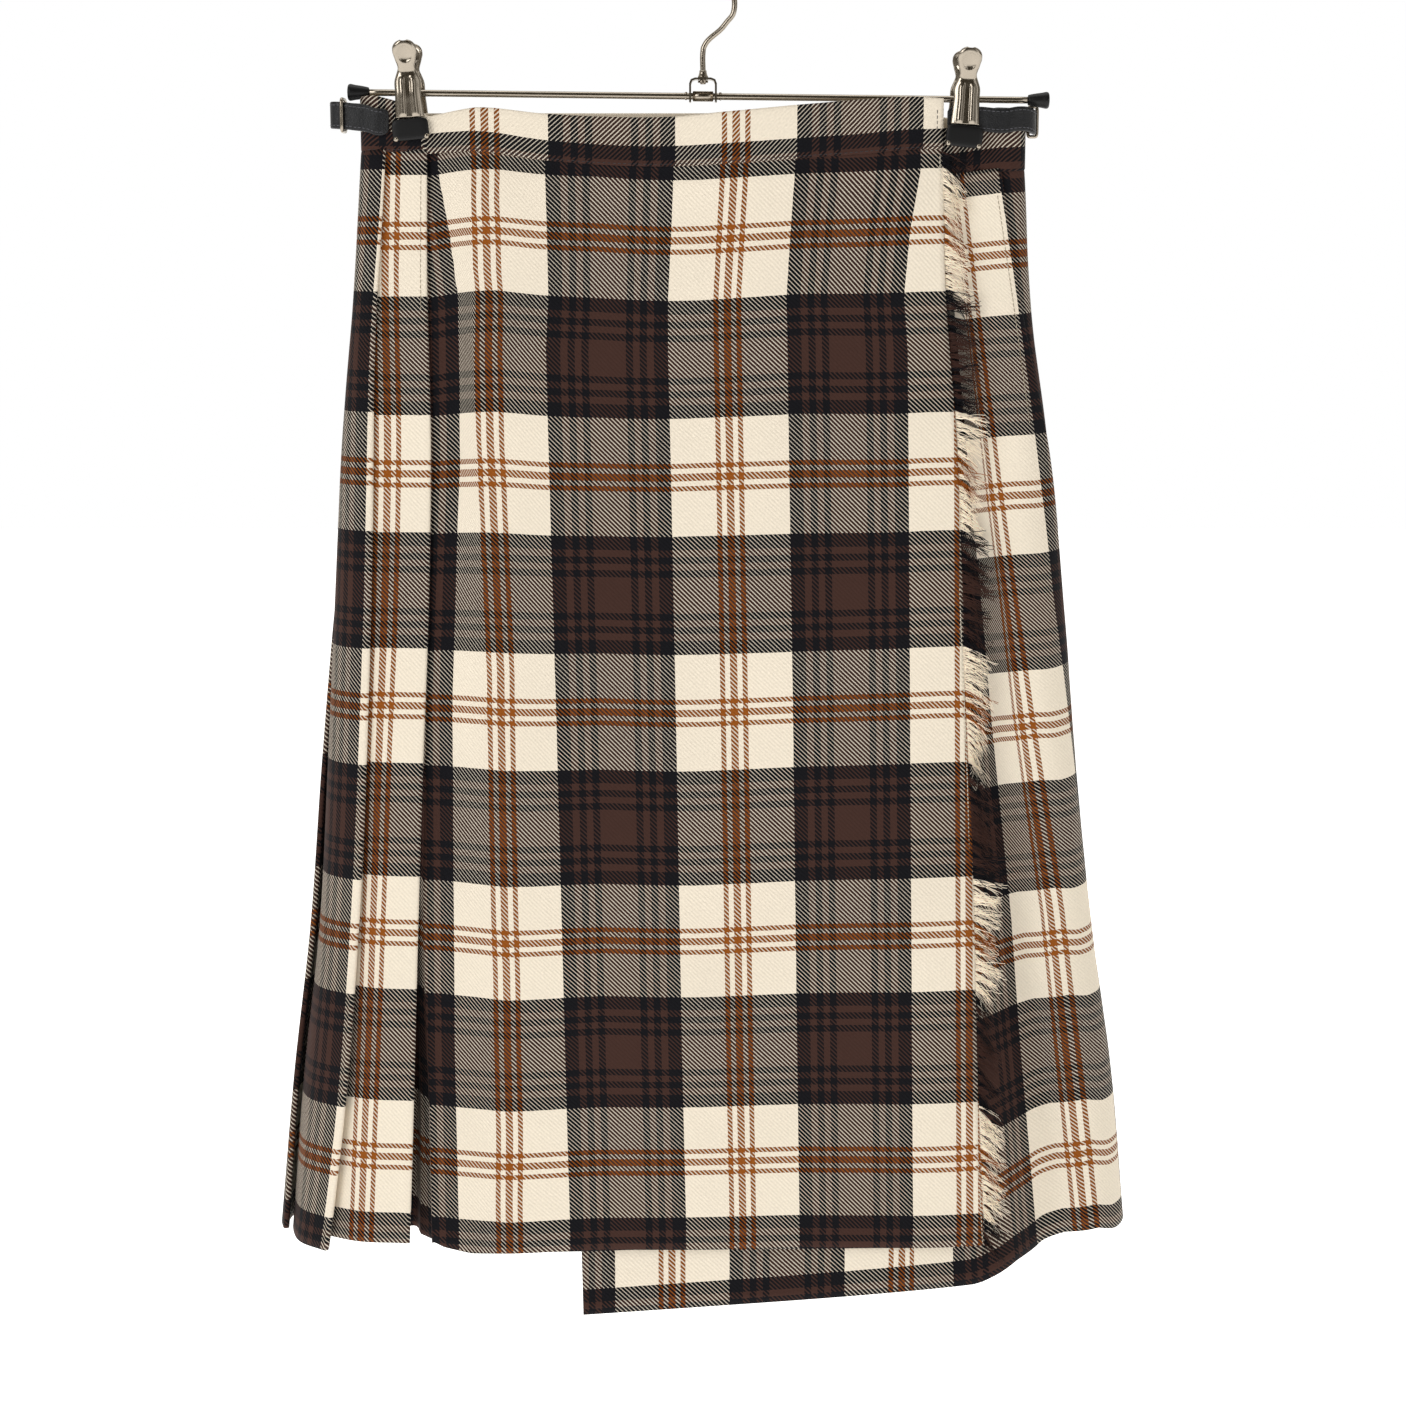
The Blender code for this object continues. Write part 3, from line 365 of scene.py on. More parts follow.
def wool_tartan(name, way):
    """Worsted wool 2/2 twill, woven in one sett both ways: matt, with fine diagonal ribs.

    Warp shows where a diagonal phase of 4 threads is in its first half, weft elsewhere, so
    that two colours mix in ribs as the real weave does. way is 1 where the ribs run down to
    the right and -1 where they run up to the right. A thread is 0.59 mm.
    """
    mat, tree, shader = new_material(name, {
        "Roughness": 0.9, "Sheen Weight": 0.04, "Sheen Roughness": 0.4, "Specular IOR Level": 0.12})
    place = add_node(tree, "UVMap", {}, uv_map="cloth")
    across, down, _ = add_node(tree, "SeparateXYZ", {0: place}).outputs
    wobble = add_node(tree, "TexNoise", {"Vector": place, "Scale": 300.0, "Detail": 1.0})
    off = add_node(tree, "Math", {0: wobble, 1: 0.5}, operation="SUBTRACT")
    yarns = []
    for along in (across, down):
        frayed = add_node(tree, "Math", {0: off, 1: FRAY, 2: along}, operation="MULTIPLY_ADD")
        yarns.append(sett_colours(tree, frayed))
    warp, weft = yarns
    diagonal = add_node(tree, "Math", {0: down, 1: -way, 2: across}, operation="MULTIPLY_ADD")
    phase = add_node(tree, "Math", {0: diagonal, 1: TWILL_THREADS * THREAD / 2}, operation="DIVIDE")
    ridge = add_node(tree, "Math", {0: phase, 1: 1.0}, operation="PINGPONG")
    darker = add_node(tree, "Math", {0: darkness(tree, weft), 1: darkness(tree, warp)},
                      operation="SUBTRACT")
    cover = add_node(tree, "Math", {0: darker, 1: DARK_GAIN, 2: ridge}, operation="MULTIPLY_ADD")
    mask = add_node(tree, "MapRange", {"Value": cover, "From Min": 0.40, "From Max": 0.60},
                    interpolation_type="SMOOTHSTEP")
    mix = add_node(tree, "Mix", {0: mask, 6: warp, 7: weft}, data_type="RGBA")
    slub = add_node(tree, "TexNoise", {"Vector": place, "Scale": 900.0, "Detail": 2.0})
    cloud = add_node(tree, "TexNoise", {"Vector": place, "Scale": 14.0, "Detail": 2.0})
    crossed = add_node(tree, "Math", {0: darker}, operation="ABSOLUTE")
    bright = 0.82
    for source, share in ((slub, 0.26), (cloud, 0.10), (crossed, -CROSSED_SHADE)):
        bright = add_node(tree, "Math", {0: source, 1: share, 2: bright}, operation="MULTIPLY_ADD")
    tone = add_node(tree, "Mix", {0: 1.0, 6: mix.outputs[2], 7: bright},
                    data_type="RGBA", blend_type="MULTIPLY")
    relief = add_node(tree, "Math", {0: slub, 1: 1.2, 2: ridge}, operation="MULTIPLY_ADD")
    bump = add_node(tree, "Bump", {"Strength": 0.35, "Distance": 0.3 * MM, "Height": relief})
    feed(tree, shader, {"Base Color": tone.outputs[2], "Normal": bump})
    return mat


def fringe_yarn():
    """Loose weft yarn of the frayed edge: crinkled wool in the colours of the rows, with painted
    light: each yarn is lightened by its own random amount, against the shade among the yarns.
    """
    mat, tree, shader = new_material("fringe_worsted_yarn", {
        "Roughness": 0.95, "Sheen Weight": 0.03, "Sheen Roughness": 0.4,
        "Specular IOR Level": 0.05})
    place = add_node(tree, "UVMap", {}, uv_map="cloth")
    yarn, down, _ = add_node(tree, "SeparateXYZ", {0: place}).outputs
    # Painted light: the row's colour times 1.12 to 1.62, a random amount for each yarn, brighter
    # than the cloth to make up for the shade among the yarns.
    bright = add_node(tree, "Math", {0: yarn, 1: 0.5, 2: 1.12}, operation="MULTIPLY_ADD")
    tone = add_node(tree, "Mix", {0: 1.0, 6: sett_colours(tree, down), 7: bright},
                    data_type="RGBA", blend_type="MULTIPLY")
    feed(tree, shader, {"Base Color": tone.outputs[2]})
    return mat


def nickel_steel():
    """Nickel-plated pressed steel: bright, slightly warm, with faint rolling marks of 1 mm."""
    mat, tree, shader = new_material("nickel_plated_steel", {
        "Metallic": 1.0, "Base Color": tuple(bpy.context.scene.skirt_hanger.steel)})
    place = add_node(tree, "TexCoord", {}).outputs["Object"]
    stretch = add_node(tree, "Mapping", {"Vector": place, "Scale": (900.0, 900.0, 160.0)})
    marks = add_node(tree, "TexNoise", {"Vector": stretch, "Scale": 1.0, "Detail": 3.0})
    rough = add_node(tree, "MapRange", {"Value": marks, "To Min": 0.13, "To Max": 0.30})
    bump = add_node(tree, "Bump", {"Strength": 0.06, "Distance": 0.2 * MM, "Height": marks})
    feed(tree, shader, {"Roughness": rough, "Normal": bump})
    return mat


def black_rubber():
    """Dipped soft vinyl: near black, satin, with a faint pebble of 1 mm."""
    mat, tree, shader = new_material("dipped_vinyl", {
        "Roughness": 0.45, "Base Color": tuple(bpy.context.scene.skirt_hanger.rubber),
        "Specular IOR Level": 0.28})
    place = add_node(tree, "TexCoord", {}).outputs["Object"]
    grain = add_node(tree, "TexNoise", {"Vector": place, "Scale": 900.0, "Detail": 2.0})
    bump = add_node(tree, "Bump", {"Strength": 0.2, "Distance": 0.2 * MM, "Height": grain})
    feed(tree, shader, {"Normal": bump})
    return mat


def strap_leather():
    """Coated split leather: blue-black, creased across the strap, pebbled grain of 0.6 mm."""
    mat, tree, shader = new_material("coated_leather", {
        "Roughness": 0.42, "Specular IOR Level": 0.32, "Coat Weight": 0.05, "Coat Roughness": 0.25})
    place = add_node(tree, "UVMap", {}, uv_map="cloth")
    grain = add_node(tree, "TexVoronoi", {"Vector": place, "Scale": 1500.0})
    stretch = add_node(tree, "Mapping", {"Vector": place, "Scale": (420.0, 60.0, 1.0)})
    crease = add_node(tree, "TexNoise", {"Vector": stretch, "Scale": 1.0, "Detail": 3.0})
    worn = add_node(tree, "ValToRGB", {0: crease})
    base = np.array(tuple(bpy.context.scene.skirt_hanger.leather))
    low, high = worn.color_ramp.elements
    low.position, low.color = 0.42, tuple(base)
    high.position, high.color = 0.75, (*(base[:3] * 1.9 + 0.002), 1.0)
    height = add_node(tree, "Math", {0: grain, 1: 0.5, 2: crease}, operation="MULTIPLY_ADD")
    bump = add_node(tree, "Bump", {"Strength": 0.5, "Distance": 0.6 * MM, "Height": height})
    feed(tree, shader, {"Base Color": worn, "Normal": bump})
    return mat


def spun_thread(name, colour):
    """Spun polyester sewing thread: matt, one colour, with a fine twist."""
    mat, tree, shader = new_material(name, {"Roughness": 0.7, "Sheen Weight": 0.2})
    place = add_node(tree, "TexCoord", {}).outputs["Object"]
    twist = add_node(tree, "TexNoise", {"Vector": place, "Scale": 2500.0})
    ramp = add_node(tree, "ValToRGB", {0: twist})
    low, high = ramp.color_ramp.elements
    low.color = (*(np.array(colour[:3]) * 0.7), 1.0)
    high.color = tuple(colour)
    feed(tree, shader, {"Base Color": ramp})
    return mat


def white_paper():
    """Seamless background paper: matt white."""
    return new_material("background_paper", {
        "Roughness": 0.95, "Specular IOR Level": 0.0, "Emission Color": (1, 1, 1, 1),
        "Emission Strength": 1.0, "Base Color": tuple(bpy.context.scene.skirt_stage.paper)})[0]


MADE = {}


def finish(name):
    """A material by its maker's name, made once."""
    scene = bpy.context.scene
    makers = {
        "tartan": (wool_tartan, "worsted_tartan_twill", 1),
        "band": (wool_tartan, "worsted_tartan_waistband", -1),
        "fringe": (fringe_yarn,),
        "steel": (nickel_steel,),
        "rubber": (black_rubber,),
        "leather": (strap_leather,),
        "pale thread": (spun_thread, "pale_spun_thread", tuple(scene.skirt_sewing.thread)),
        # Black thread; drawn thick along the waist seam, it is also painted shade of the seam's
        # groove.
        "dark thread and painted seam shade": (spun_thread, "black_spun_thread", hex_colour("#1B1C22")),
        # Pale thread darkened to tan: painted shade of the grooves that the pleat edges' stitches
        # lie in.
        "thread with painted groove shade": (spun_thread, "tan_spun_thread", hex_colour("#A3957F")),
        "grey thread": (spun_thread, "grey_spun_thread", hex_colour("#5C5C63")),
        "paper": (white_paper,),
    }
    if name not in MADE:
        maker, *values = makers[name]
        MADE[name] = maker(*values)
    return MADE[name]


# Mesh making

def grid_faces(rows, columns, wrap=False):
    """Quads between neighbouring rows and columns of a grid, the columns closed if wrapped."""
    index = np.arange(rows * columns).reshape(rows, columns)
    if wrap:
        index = np.concatenate((index, index[:, :1]), axis=1)
    quads = np.stack((index[:-1, :-1], index[1:, :-1], index[1:, 1:], index[:-1, 1:]), -1)
    return quads.reshape(-1, 4)


def tube_faces(rows, columns, count=1, flipped=False):
    """Faces of closed tubes one after another: quads along each and a flat face at each end."""
    first = np.arange(columns)[None]
    last = (rows - 1) * columns + first[:, ::-1]
    starts = np.arange(count)[:, None, None] * rows * columns
    faces = []
    for part in (grid_faces(rows, columns, wrap=True), first, last):
        part = part[:, ::-1] if flipped else part
        faces += (part[None] + starts).reshape(-1, part.shape[1]).tolist()
    return faces


def tubes(paths, lateral, upright, radius, sides):
    """Points of round tubes: circles across each path, whose radius changes along it."""
    cosine, sine = turns(sides)
    ring = lateral[..., None, :] * cosine[:, None] + upright[..., None, :] * sine[:, None]
    return paths[..., None, :] + ring * np.asarray(radius)[..., None, None]


def make_piece(name, points, faces, look, uv=None):
    """A smooth mesh object from vertices and faces, with a place on the cloth for each vertex."""
    mesh = bpy.data.meshes.new(name)
    faces = faces.tolist() if isinstance(faces, np.ndarray) else faces
    mesh.from_pydata(np.asarray(points, float).reshape(-1, 3).tolist(), [], faces)
    if uv is not None:
        layer = mesh.uv_layers.new(name="cloth")
        corner = np.zeros(len(mesh.loops), int)
        mesh.loops.foreach_get("vertex_index", corner)
        layer.data.foreach_set("uv", np.asarray(uv, float).reshape(-1, 2)[corner].ravel())
    mesh.polygons.foreach_set("use_smooth", [True] * len(mesh.polygons))
    obj = bpy.data.objects.new(name, mesh)
    bpy.context.scene.collection.objects.link(obj)
    mesh.materials.append(finish(look))
    return obj


def put(obj, slot, *nodes):
    """Let a piece ride on the one body and stand for its nodes, which are hidden; slot is not used.
    """
    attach(obj, "root")
    if nodes:
        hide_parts(*nodes)
    return obj


def thicken(obj, wall):
    """Give a surface a wall, half of it on each side."""
    solid = obj.modifiers.new("wall", "SOLIDIFY")
    solid.thickness = wall
    solid.offset = 0
    solid.use_even_offset = True
    solid.use_quality_normals = True
    return obj


def smooth(a, b, x):
    """0 below a, 1 above b and an S curve between."""
    t = np.clip((x - a) / (b - a), 0, 1)
    return t * t * (3 - 2 * t)


def eased(at, xs, ys):
    """A smooth curve through a table: cubic pieces whose slopes come from the neighbours."""
    xs, ys = np.asarray(xs, float), np.asarray(ys, float)
    at = np.asarray(at, float)
    slope = np.gradient(ys, xs, axis=0)
    k = np.clip(np.searchsorted(xs, at, side="right") - 1, 0, len(xs) - 2)
    width = xs[k + 1] - xs[k]
    t = (at - xs[k]) / width
    if ys.ndim > 1:
        width, t = width[..., None], t[..., None]
    start = (2 * t**3 - 3 * t**2 + 1) * ys[k] + (t**3 - 2 * t**2 + t) * width * slope[k]
    end = (3 * t**2 - 2 * t**3) * ys[k + 1] + (t**3 - t**2) * width * slope[k + 1]
    return start + end


def path_length(line):
    """Distance along a path of points from its first one."""
    return np.concatenate(([0], np.cumsum(np.linalg.norm(np.diff(line, axis=0), axis=1))))


def arc_length(x, y):
    """Distance along a level line from its first point."""
    return np.concatenate(([0], np.cumsum(np.hypot(np.diff(x), np.diff(y)))))


def even_line(route, count):
    """Points evenly spaced on a smooth curve through a route."""
    route = np.asarray(route, float)
    steps = path_length(route)
    return eased(np.linspace(0, steps[-1], count), steps, route)


def unit(vectors):
    """Vectors of length 1 along the last axis."""
    return vectors / np.linalg.norm(vectors, axis=-1)[..., None]


def turns(count):
    """Cosines and sines of even turns round a circle."""
    angle = np.arange(count) * 2 * math.pi / count
    return np.cos(angle), np.sin(angle)


def place_points(points, matrix):
    """Points turned and moved by a matrix of four rows."""
    rows = np.array(matrix)
    return points @ rows[:3, :3].T + rows[:3, 3]


class Section:
    """One level of the skirt: its innermost line, and where the folds lie on it."""

    def __init__(self, v):
        row = {name: float(eased(v, TABLE["v"], TABLE[name])) for name in COLUMNS}
        self.v = v
        self.step = row["step"] * MM
        self.folded = row["folded"]
        self.layer = LAYER + (LOOSE_LAYER - LAYER) * float(smooth(0.0, 0.6, v))
        self.top = BASE_CLEAR + self.step * (1 + self.folded)
        self.apron = self.top - self.step + APRON_LAY
        self.open_gap = row["open_gap"] * MM
        self.hollow = max(row["hollow"], 0) * MM
        self.sunk = SINK * float(smooth(2, 13, self.open_gap / MM))
        self.measure(row)

    def measure(self, row):
        """Two straight sides with half-ellipse ends, moved in by the height of the pleats."""
        left = row["left"] * MM + self.top
        right = row["right"] * MM - self.top
        front = row["front"] * MM + self.apron + WALL / 2
        back = row["back"] * MM - self.top
        half, deep_half = (right - left) / 2, (back - front) / 2
        straight = half - SIDE_SHAPE * deep_half
        angle = np.radians(np.linspace(-90, -270, OUTLINE_TURN))
        run = np.linspace(0, straight, OUTLINE_RUN)[:-1]
        half_x = np.concatenate((run, straight - SIDE_SHAPE * deep_half * np.cos(angle), run[::-1]))
        level = run * 0 + deep_half
        half_y = np.concatenate((-level, deep_half * np.sin(angle), level))
        across = np.concatenate((-half_x, half_x[::-1][1:]))
        deep = np.concatenate((half_y, half_y[::-1][1:]))
        wide = across / half
        middle = (front + back) / 2
        side = np.where(wide < 0, row["side_left"] * MM, row["side_right"] * MM)
        self.x = (left + right) / 2 + across
        self.y = middle + (side - middle) * np.abs(wide) ** 3 + deep
        dx, dy = np.gradient(self.x), np.gradient(self.y)
        size = np.maximum(np.hypot(dx, dy), 1e-12)
        self.normal_x, self.normal_y = dy / size, -dx / size
        if self.normal_y[0] > 0:
            self.normal_x, self.normal_y = -self.normal_x, -self.normal_y
        self.s = arc_length(self.x, self.y)
        self.round = self.s[-1]
        quarter = len(half_x) // 2
        first = slice(0, quarter)
        last = slice(len(self.x) - quarter, None)
        self.start = np.interp(-row["fold_x"] * MM, -self.x[first], self.s[first])
        self.right_side = self.s[-1 - quarter] - self.start
        self.left_side = self.s[quarter] - self.start
        self.last_fold = self.right_side + row["last_fold"] * MM
        edge = np.interp(-row["fringe_x"] * MM, -self.x[last], self.s[last])
        self.fringe = edge - self.round - self.start
        self.inner_edge = edge - self.start
        free = np.interp(-row["free_x"] * MM, -self.x[first], self.s[first])
        self.free = self.round + free - self.start
        first_x, past_hip = [float(eased(self.v, HIP_FOLDS["v"], HIP_FOLDS[name])) * MM
                             for name in ("first_x", "past_hip")]
        first_fold = np.interp(-first_x, -self.x[first], self.s[first]) - self.start
        second_fold = self.left_side + past_hip
        others = np.linspace(second_fold, self.last_fold, PLEATS - 1)
        self.folds = np.concatenate(([0, first_fold], others))
        self.pitches = np.append(np.diff(self.folds), self.folds[-1] - self.folds[-2])

    def place(self, u, h):
        """World x and y of a point u round the skirt and h out from its innermost line."""
        s = np.mod(np.asarray(u, float) + self.start, self.round)
        x, y = np.interp(s, self.s, self.x), np.interp(s, self.s, self.y)
        nx, ny = np.interp(s, self.s, self.normal_x), np.interp(s, self.s, self.normal_y)
        size = np.hypot(nx, ny)
        return x + nx / size * h, y + ny / size * h


RINGS = [Section(v) for v in np.linspace(0, 1, ROWS)]
WAIST = RINGS[0]


# The right side hangs up from a straight fall: its rise in mm down the cloth, and its share
# by the distance in from the side in mm
SIDE_RISE = {
    "v": (0, 0.20, 0.42, 0.53, 0.635, 0.74, 0.85, 1.0),
    "rise": (0, 1.6, 2.5, 5.0, 7.5, 9.3, 11.8, 13.9),
    "inward": (0, 13, 23, 42, 51, 61, 70, 80, 92),
    "share": (0.60, 0.75, 1.07, 1.05, 0.84, 0.63, 0.53, 0.26, 0),
}


def side_rise(ring, x):
    """How far the cloth near the right side hangs above a straight fall."""
    edge, _ = ring.place(np.array([ring.right_side]), np.array([ring.top]))
    rise = np.interp(ring.v, SIDE_RISE["v"], SIDE_RISE["rise"]) * MM
    return rise * np.interp((edge[0] - x) / MM, SIDE_RISE["inward"], SIDE_RISE["share"])


# Rise of the rows on the outer apron in mm, by x and by level: the drape pulls them out of line
ROW_WAVES = {
    "x": (-140, -104, -53, -1, 50, 101),
    "z": (-122, -179, -237, -296, -356, -417, -479, -541, -604),
    "rise": (
        (-2.4, -2.4, -1.5, -1.0, -0.5, 0.0, 0.0, 0.5, 1.0),
        (0.5, 1.4, 0.0, -0.6, -1.8, -2.1, -2.4, -2.0, -0.6),
        (2.6, 2.1, 1.6, 1.5, 1.0, 0.6, 0.6, 1.5, 2.0),
        (1.2, 1.3, 2.3, 1.9, 0.6, 0.1, 0.1, 1.1, 2.4),
        (1.0, 1.9, 1.6, 1.1, 0.6, 1.0, 1.1, 2.0, 2.9),
        (-0.8, -1.4, -1.0, -0.5, 0.1, 0.5, 1.0, 1.6, 2.0),
    ),
}


def row_waves(x, z):
    """The rows' rise at each point of the outer apron, linear between the table's values."""
    levels = -np.array(ROW_WAVES["z"]) * MM
    rises = np.array([np.interp(-z, levels, column) for column in ROW_WAVES["rise"]])
    at = np.interp(x / MM, ROW_WAVES["x"], np.arange(len(rises)))
    column = np.minimum(at.astype(int), len(rises) - 2)
    point = np.arange(len(x))
    low, high = rises[column, point], rises[column + 1, point]
    return (low + (high - low) * (at - column)) * MM


def inner_heights(ring, u):
    """Heights of the inner apron: its seam and hem slant from the last fold to the free edge."""
    share = np.clip((u - ring.last_fold) / (ring.free - ring.last_fold), 0, 1)
    seam = INNER_SEAM[0] + (INNER_SEAM[1] - INNER_SEAM[0]) * share
    hem = INNER_HEM[0] + (INNER_HEM[1] - INNER_HEM[0]) * share
    return seam + (hem - seam) * ring.v


def pleat_heights(ring, u):
    """Heights of the pleats, going on as the inner apron's past the last fold."""
    share = np.clip(u / ring.last_fold, 0, 1)
    seam = PLEAT_SEAM[0] + (PLEAT_SEAM[1] - PLEAT_SEAM[0]) * smooth(0.8, 1, share)
    hem = PLEAT_HEM[0] + (PLEAT_HEM[1] - PLEAT_HEM[0]) * share
    return np.where(u < ring.last_fold, seam + (hem - seam) * ring.v, inner_heights(ring, u))


# Rise of the outer apron's hem by distance from the fold, in mm
HEM_RISE = {
    "from_fold": (13, 19, 27, 34, 58, 75, 95, 120),
    "rise": (3.0, 0.2, -1.2, -2.6, -2.1, -1.3, -1.0, 0.0),
}
# The cloth behind the first pleat hangs this much higher at the hem.
BEHIND_RISE = 4.9 * MM


def apron_drop(ring, u):
    """How far the outer apron's hem rises above a level line, last of all at the hem."""
    rise = np.interp(-u / MM, HEM_RISE["from_fold"], HEM_RISE["rise"]) * MM
    front = 1 - smooth(-ring.open_gap, -ring.open_gap + 0.6 * MM, u)
    return rise * front * float(smooth(0.92, 1.0, ring.v))


def apron_heights(ring, u):
    """Heights of the outer apron: a sagging seam, a level hem, and the cloth behind hung higher."""
    share = np.clip(u / ring.fringe, 0, 1)
    seam = eased(share, SAG["share"], SAG["seam"]) * MM
    behind = smooth(-ring.open_gap, -ring.open_gap + 1.5 * MM, u) * float(smooth(0.45, 0.9, ring.v))
    return seam + (FRONT_LENGTH_Z - seam) * ring.v + apron_drop(ring, u) + BEHIND_RISE * behind


def fold_round(u, h_from, h_to, way):
    """A half round fold at u from one height to another, bulging the given way along u."""
    angle = np.linspace(-math.pi / 2, math.pi / 2, FOLD_POINTS + 2)[1:-1]
    middle, radius = (h_from + h_to) / 2, (h_to - h_from) / 2
    return u + way * abs(radius) * np.cos(angle) * 0.8, middle + radius * np.sin(angle)


def pleat_line(ring, i):
    """One pleat at one level: its hidden layer, the round fold, its face and its underlay.

    Returns places round the skirt, heights and the distance along the cloth from the fold.
    """
    fold, pitch = ring.folds[i], ring.pitches[i]
    after = ring.folds[i] + pitch
    next_pitch = ring.pitches[min(i + 1, PLEATS)]
    depth, next_depth = ring.folded * pitch, ring.folded * next_pitch
    back = np.linspace(depth, 0, LAYER_POINTS)
    low = ring.top - ring.step * (1 + ring.folded) + ring.layer - (ring.sunk if i == 0 else 0)
    u_back, h_back = fold + back, np.linspace(low, ring.top - ring.layer, len(back))
    u_fold, h_fold = fold_round(fold, h_back[-1], ring.top, -1)
    face = pitch * np.linspace(0, 1, 13)
    loose = smooth(0.25, 1.0, ring.v)
    bow = loose * 1.6 * MM * np.sin(math.pi * face / pitch) ** 2
    lift = loose * (0.9 + 0.8 * math.sin(2.1 * i + 0.4)) * MM * np.exp(-face / (9 * MM))
    h_face = ring.top - ring.step * face / pitch + bow + lift
    under = np.linspace(0, next_depth, 6)[1:]
    h_under = ring.top - ring.step * (1 + under / next_pitch)
    u = np.concatenate((u_back, u_fold, fold + face, after + under))
    h = np.concatenate((h_back, h_fold + lift[0], h_face, h_under))
    along = arc_length(*ring.place(u, h))
    return u, h, along - along[LAYER_POINTS + FOLD_POINTS]


def pleat_middle(i, v):
    """How far left of fold i the middle of a light column lies."""
    if i < 2:
        return float(np.interp(v, HIP_MIDDLES["v"], HIP_MIDDLES[("first", "second")[i]])) * MM
    return LAST_MIDDLE + (PLEATS - 1 - i) * PLEAT_ADVANCE


def row_place(v, late):
    """Distance down the cloth from the middle of the first light row."""
    down = v * (CLOTH_LENGTH - HEM_EASE * v * v)
    return (down - FIRST_ROW - INNER_ROW * late) * BLOCK / ROW_PITCH


def tucked(points, cloth, heights):
    """The grid with a row more on top, inside the waistband, where the cloth is sewn into it.

    heights are the top row's heights out from the innermost line.
    """
    u, h = heights
    x, y = WAIST.place(u, HIP_BAND + (h - HIP_BAND) * TUCKED)
    top = np.stack((x, y, points[0, :, 2] + TUCK), -1)
    above = cloth[0] - (0, TUCK)
    return np.concatenate((top[None], points)), np.concatenate((above[None], cloth))


def pleat_surface(first, last):
    """Grid of points and cloth places of the pleats first to last, one row for each level."""
    rows, cloth = [], []
    for ring in RINGS:
        u, h, across, lifts, rises = [], [], [], [], []
        for i in range(first, last + 1):
            part_u, part_h, along = pleat_line(ring, i)
            drift = 0.35 * MM * math.sin(5.0 * ring.v + 1.7 * i) * ring.v * (i > 0)
            u.append(part_u + drift)
            h.append(part_h)
            across.append(pleat_middle(i, ring.v) - along)
            lift = HEM_LIFT.get(i, 0) * MM * float(smooth(0.9, 1, ring.v))
            rise = float(np.interp(ring.v, ROW_RISE["v"], ROW_RISE["rise"])) * MM if i == 0 else 0
            lifts.append(lift + 0 * part_u)
            rises.append(rise - lift + 0 * part_u)
        u, h, across, lifts, rises = map(np.concatenate, (u, h, across, lifts, rises))
        x, y = ring.place(u, h)
        z = pleat_heights(ring, u) + lifts + side_rise(ring, x)
        rows.append(np.stack((x, y, z), -1))
        late = smooth(0.8, 1, u / ring.last_fold)
        down = row_place(ring.v, late) + rises * BLOCK / ROW_PITCH
        cloth.append(np.stack((across, down), -1))
        if ring is WAIST:
            top = u, h
    return tucked(np.array(rows), np.array(cloth), top)


# Soft ridges of the outer apron, in mm: x at the ridge's top and bottom ends, its highest and
# lowest z, its widths to the left and right, and its height.
RIDGES = (
    (-114, -117, -70, -520, 12, 40, 3.0),
    (-96, -104, -380, -720, 24, 26, 2.2),
    (-52, -44, -60, -330, 24, 30, -0.9),
    (-20, -14, -280, -720, 40, 36, 1.6),
    (30, 40, -60, -420, 30, 34, 1.6),
    (72, 66, -330, -740, 34, 40, -0.8),
    (106, 116, -60, -380, 22, 24, 1.4),
    (112, 126, -400, -740, 26, 20, 1.6),
)
WAVES = ((37, 61, 0.6, 0.22), (83, -47, 2.1, 0.30), (19, 139, 4.0, 0.12))


def apron_relief(x, z):
    """Height added to the apron: soft ridges and faint slow waves."""
    scale = bpy.context.scene.skirt_tartan.crease
    total = np.zeros(np.broadcast(x, z).shape)
    for top_x, low_x, top, low, left, right, height in RIDGES:
        share = (z / MM - top) / (low - top)
        centre = (top_x + (low_x - top_x) * np.clip(share, 0, 1)) * MM
        offset = x - centre
        width = np.where(offset < 0, left, right) * MM
        ends = smooth(-0.02, 0.3, share) * (1 - smooth(0.7, 1.05, share))
        total += height * MM * np.exp(-(offset / width) ** 2) * ends
    for wide, tall, turn, height in WAVES:
        total += height * MM * np.sin(x / (wide * MM) + z / (tall * MM) + turn)
    return total * scale


def apron_line(ring):
    """The outer apron at one level, from its fringed edge to the cloth behind the first fold."""
    gap = ring.open_gap
    wide = np.linspace(-ring.fringe, gap + 34 * MM, 78)
    near = np.linspace(gap + 32 * MM, gap, 18)
    front = -np.concatenate((wide, near))
    low = ring.top - ring.step
    roll = (25 - 9 * float(smooth(0.4, 1, ring.v))) * MM
    rise = 1 - smooth(-gap - roll, -gap, front)
    h_front = low + (ring.apron - low) * rise
    behind = np.linspace(0, ring.folded * ring.pitches[0], 6)
    slot = SLOT * float(smooth(2, 13, gap / MM))
    h_behind = low - ring.step * behind / ring.pitches[0] - ring.sunk
    h_behind = h_behind - slot * (1 - behind / behind[-1])
    turn_u = -gap + np.array([0.5, 0.8]) * MM * float(smooth(2, 6, gap / MM))
    turn_h = h_front[-1] - ring.sunk * np.array([0.35, 0.9])
    turn_u = np.concatenate((turn_u, -gap * np.array([0.45, 0.36, 0.26, 0.14])))
    turn_h = np.concatenate((turn_h, turn_h[-1] - slot * np.array([0.12, 0.4, 0.75, 0.97])))
    u = np.concatenate((front, turn_u, behind))
    h = np.concatenate((h_front, turn_h, h_behind))
    return u, h, len(front)


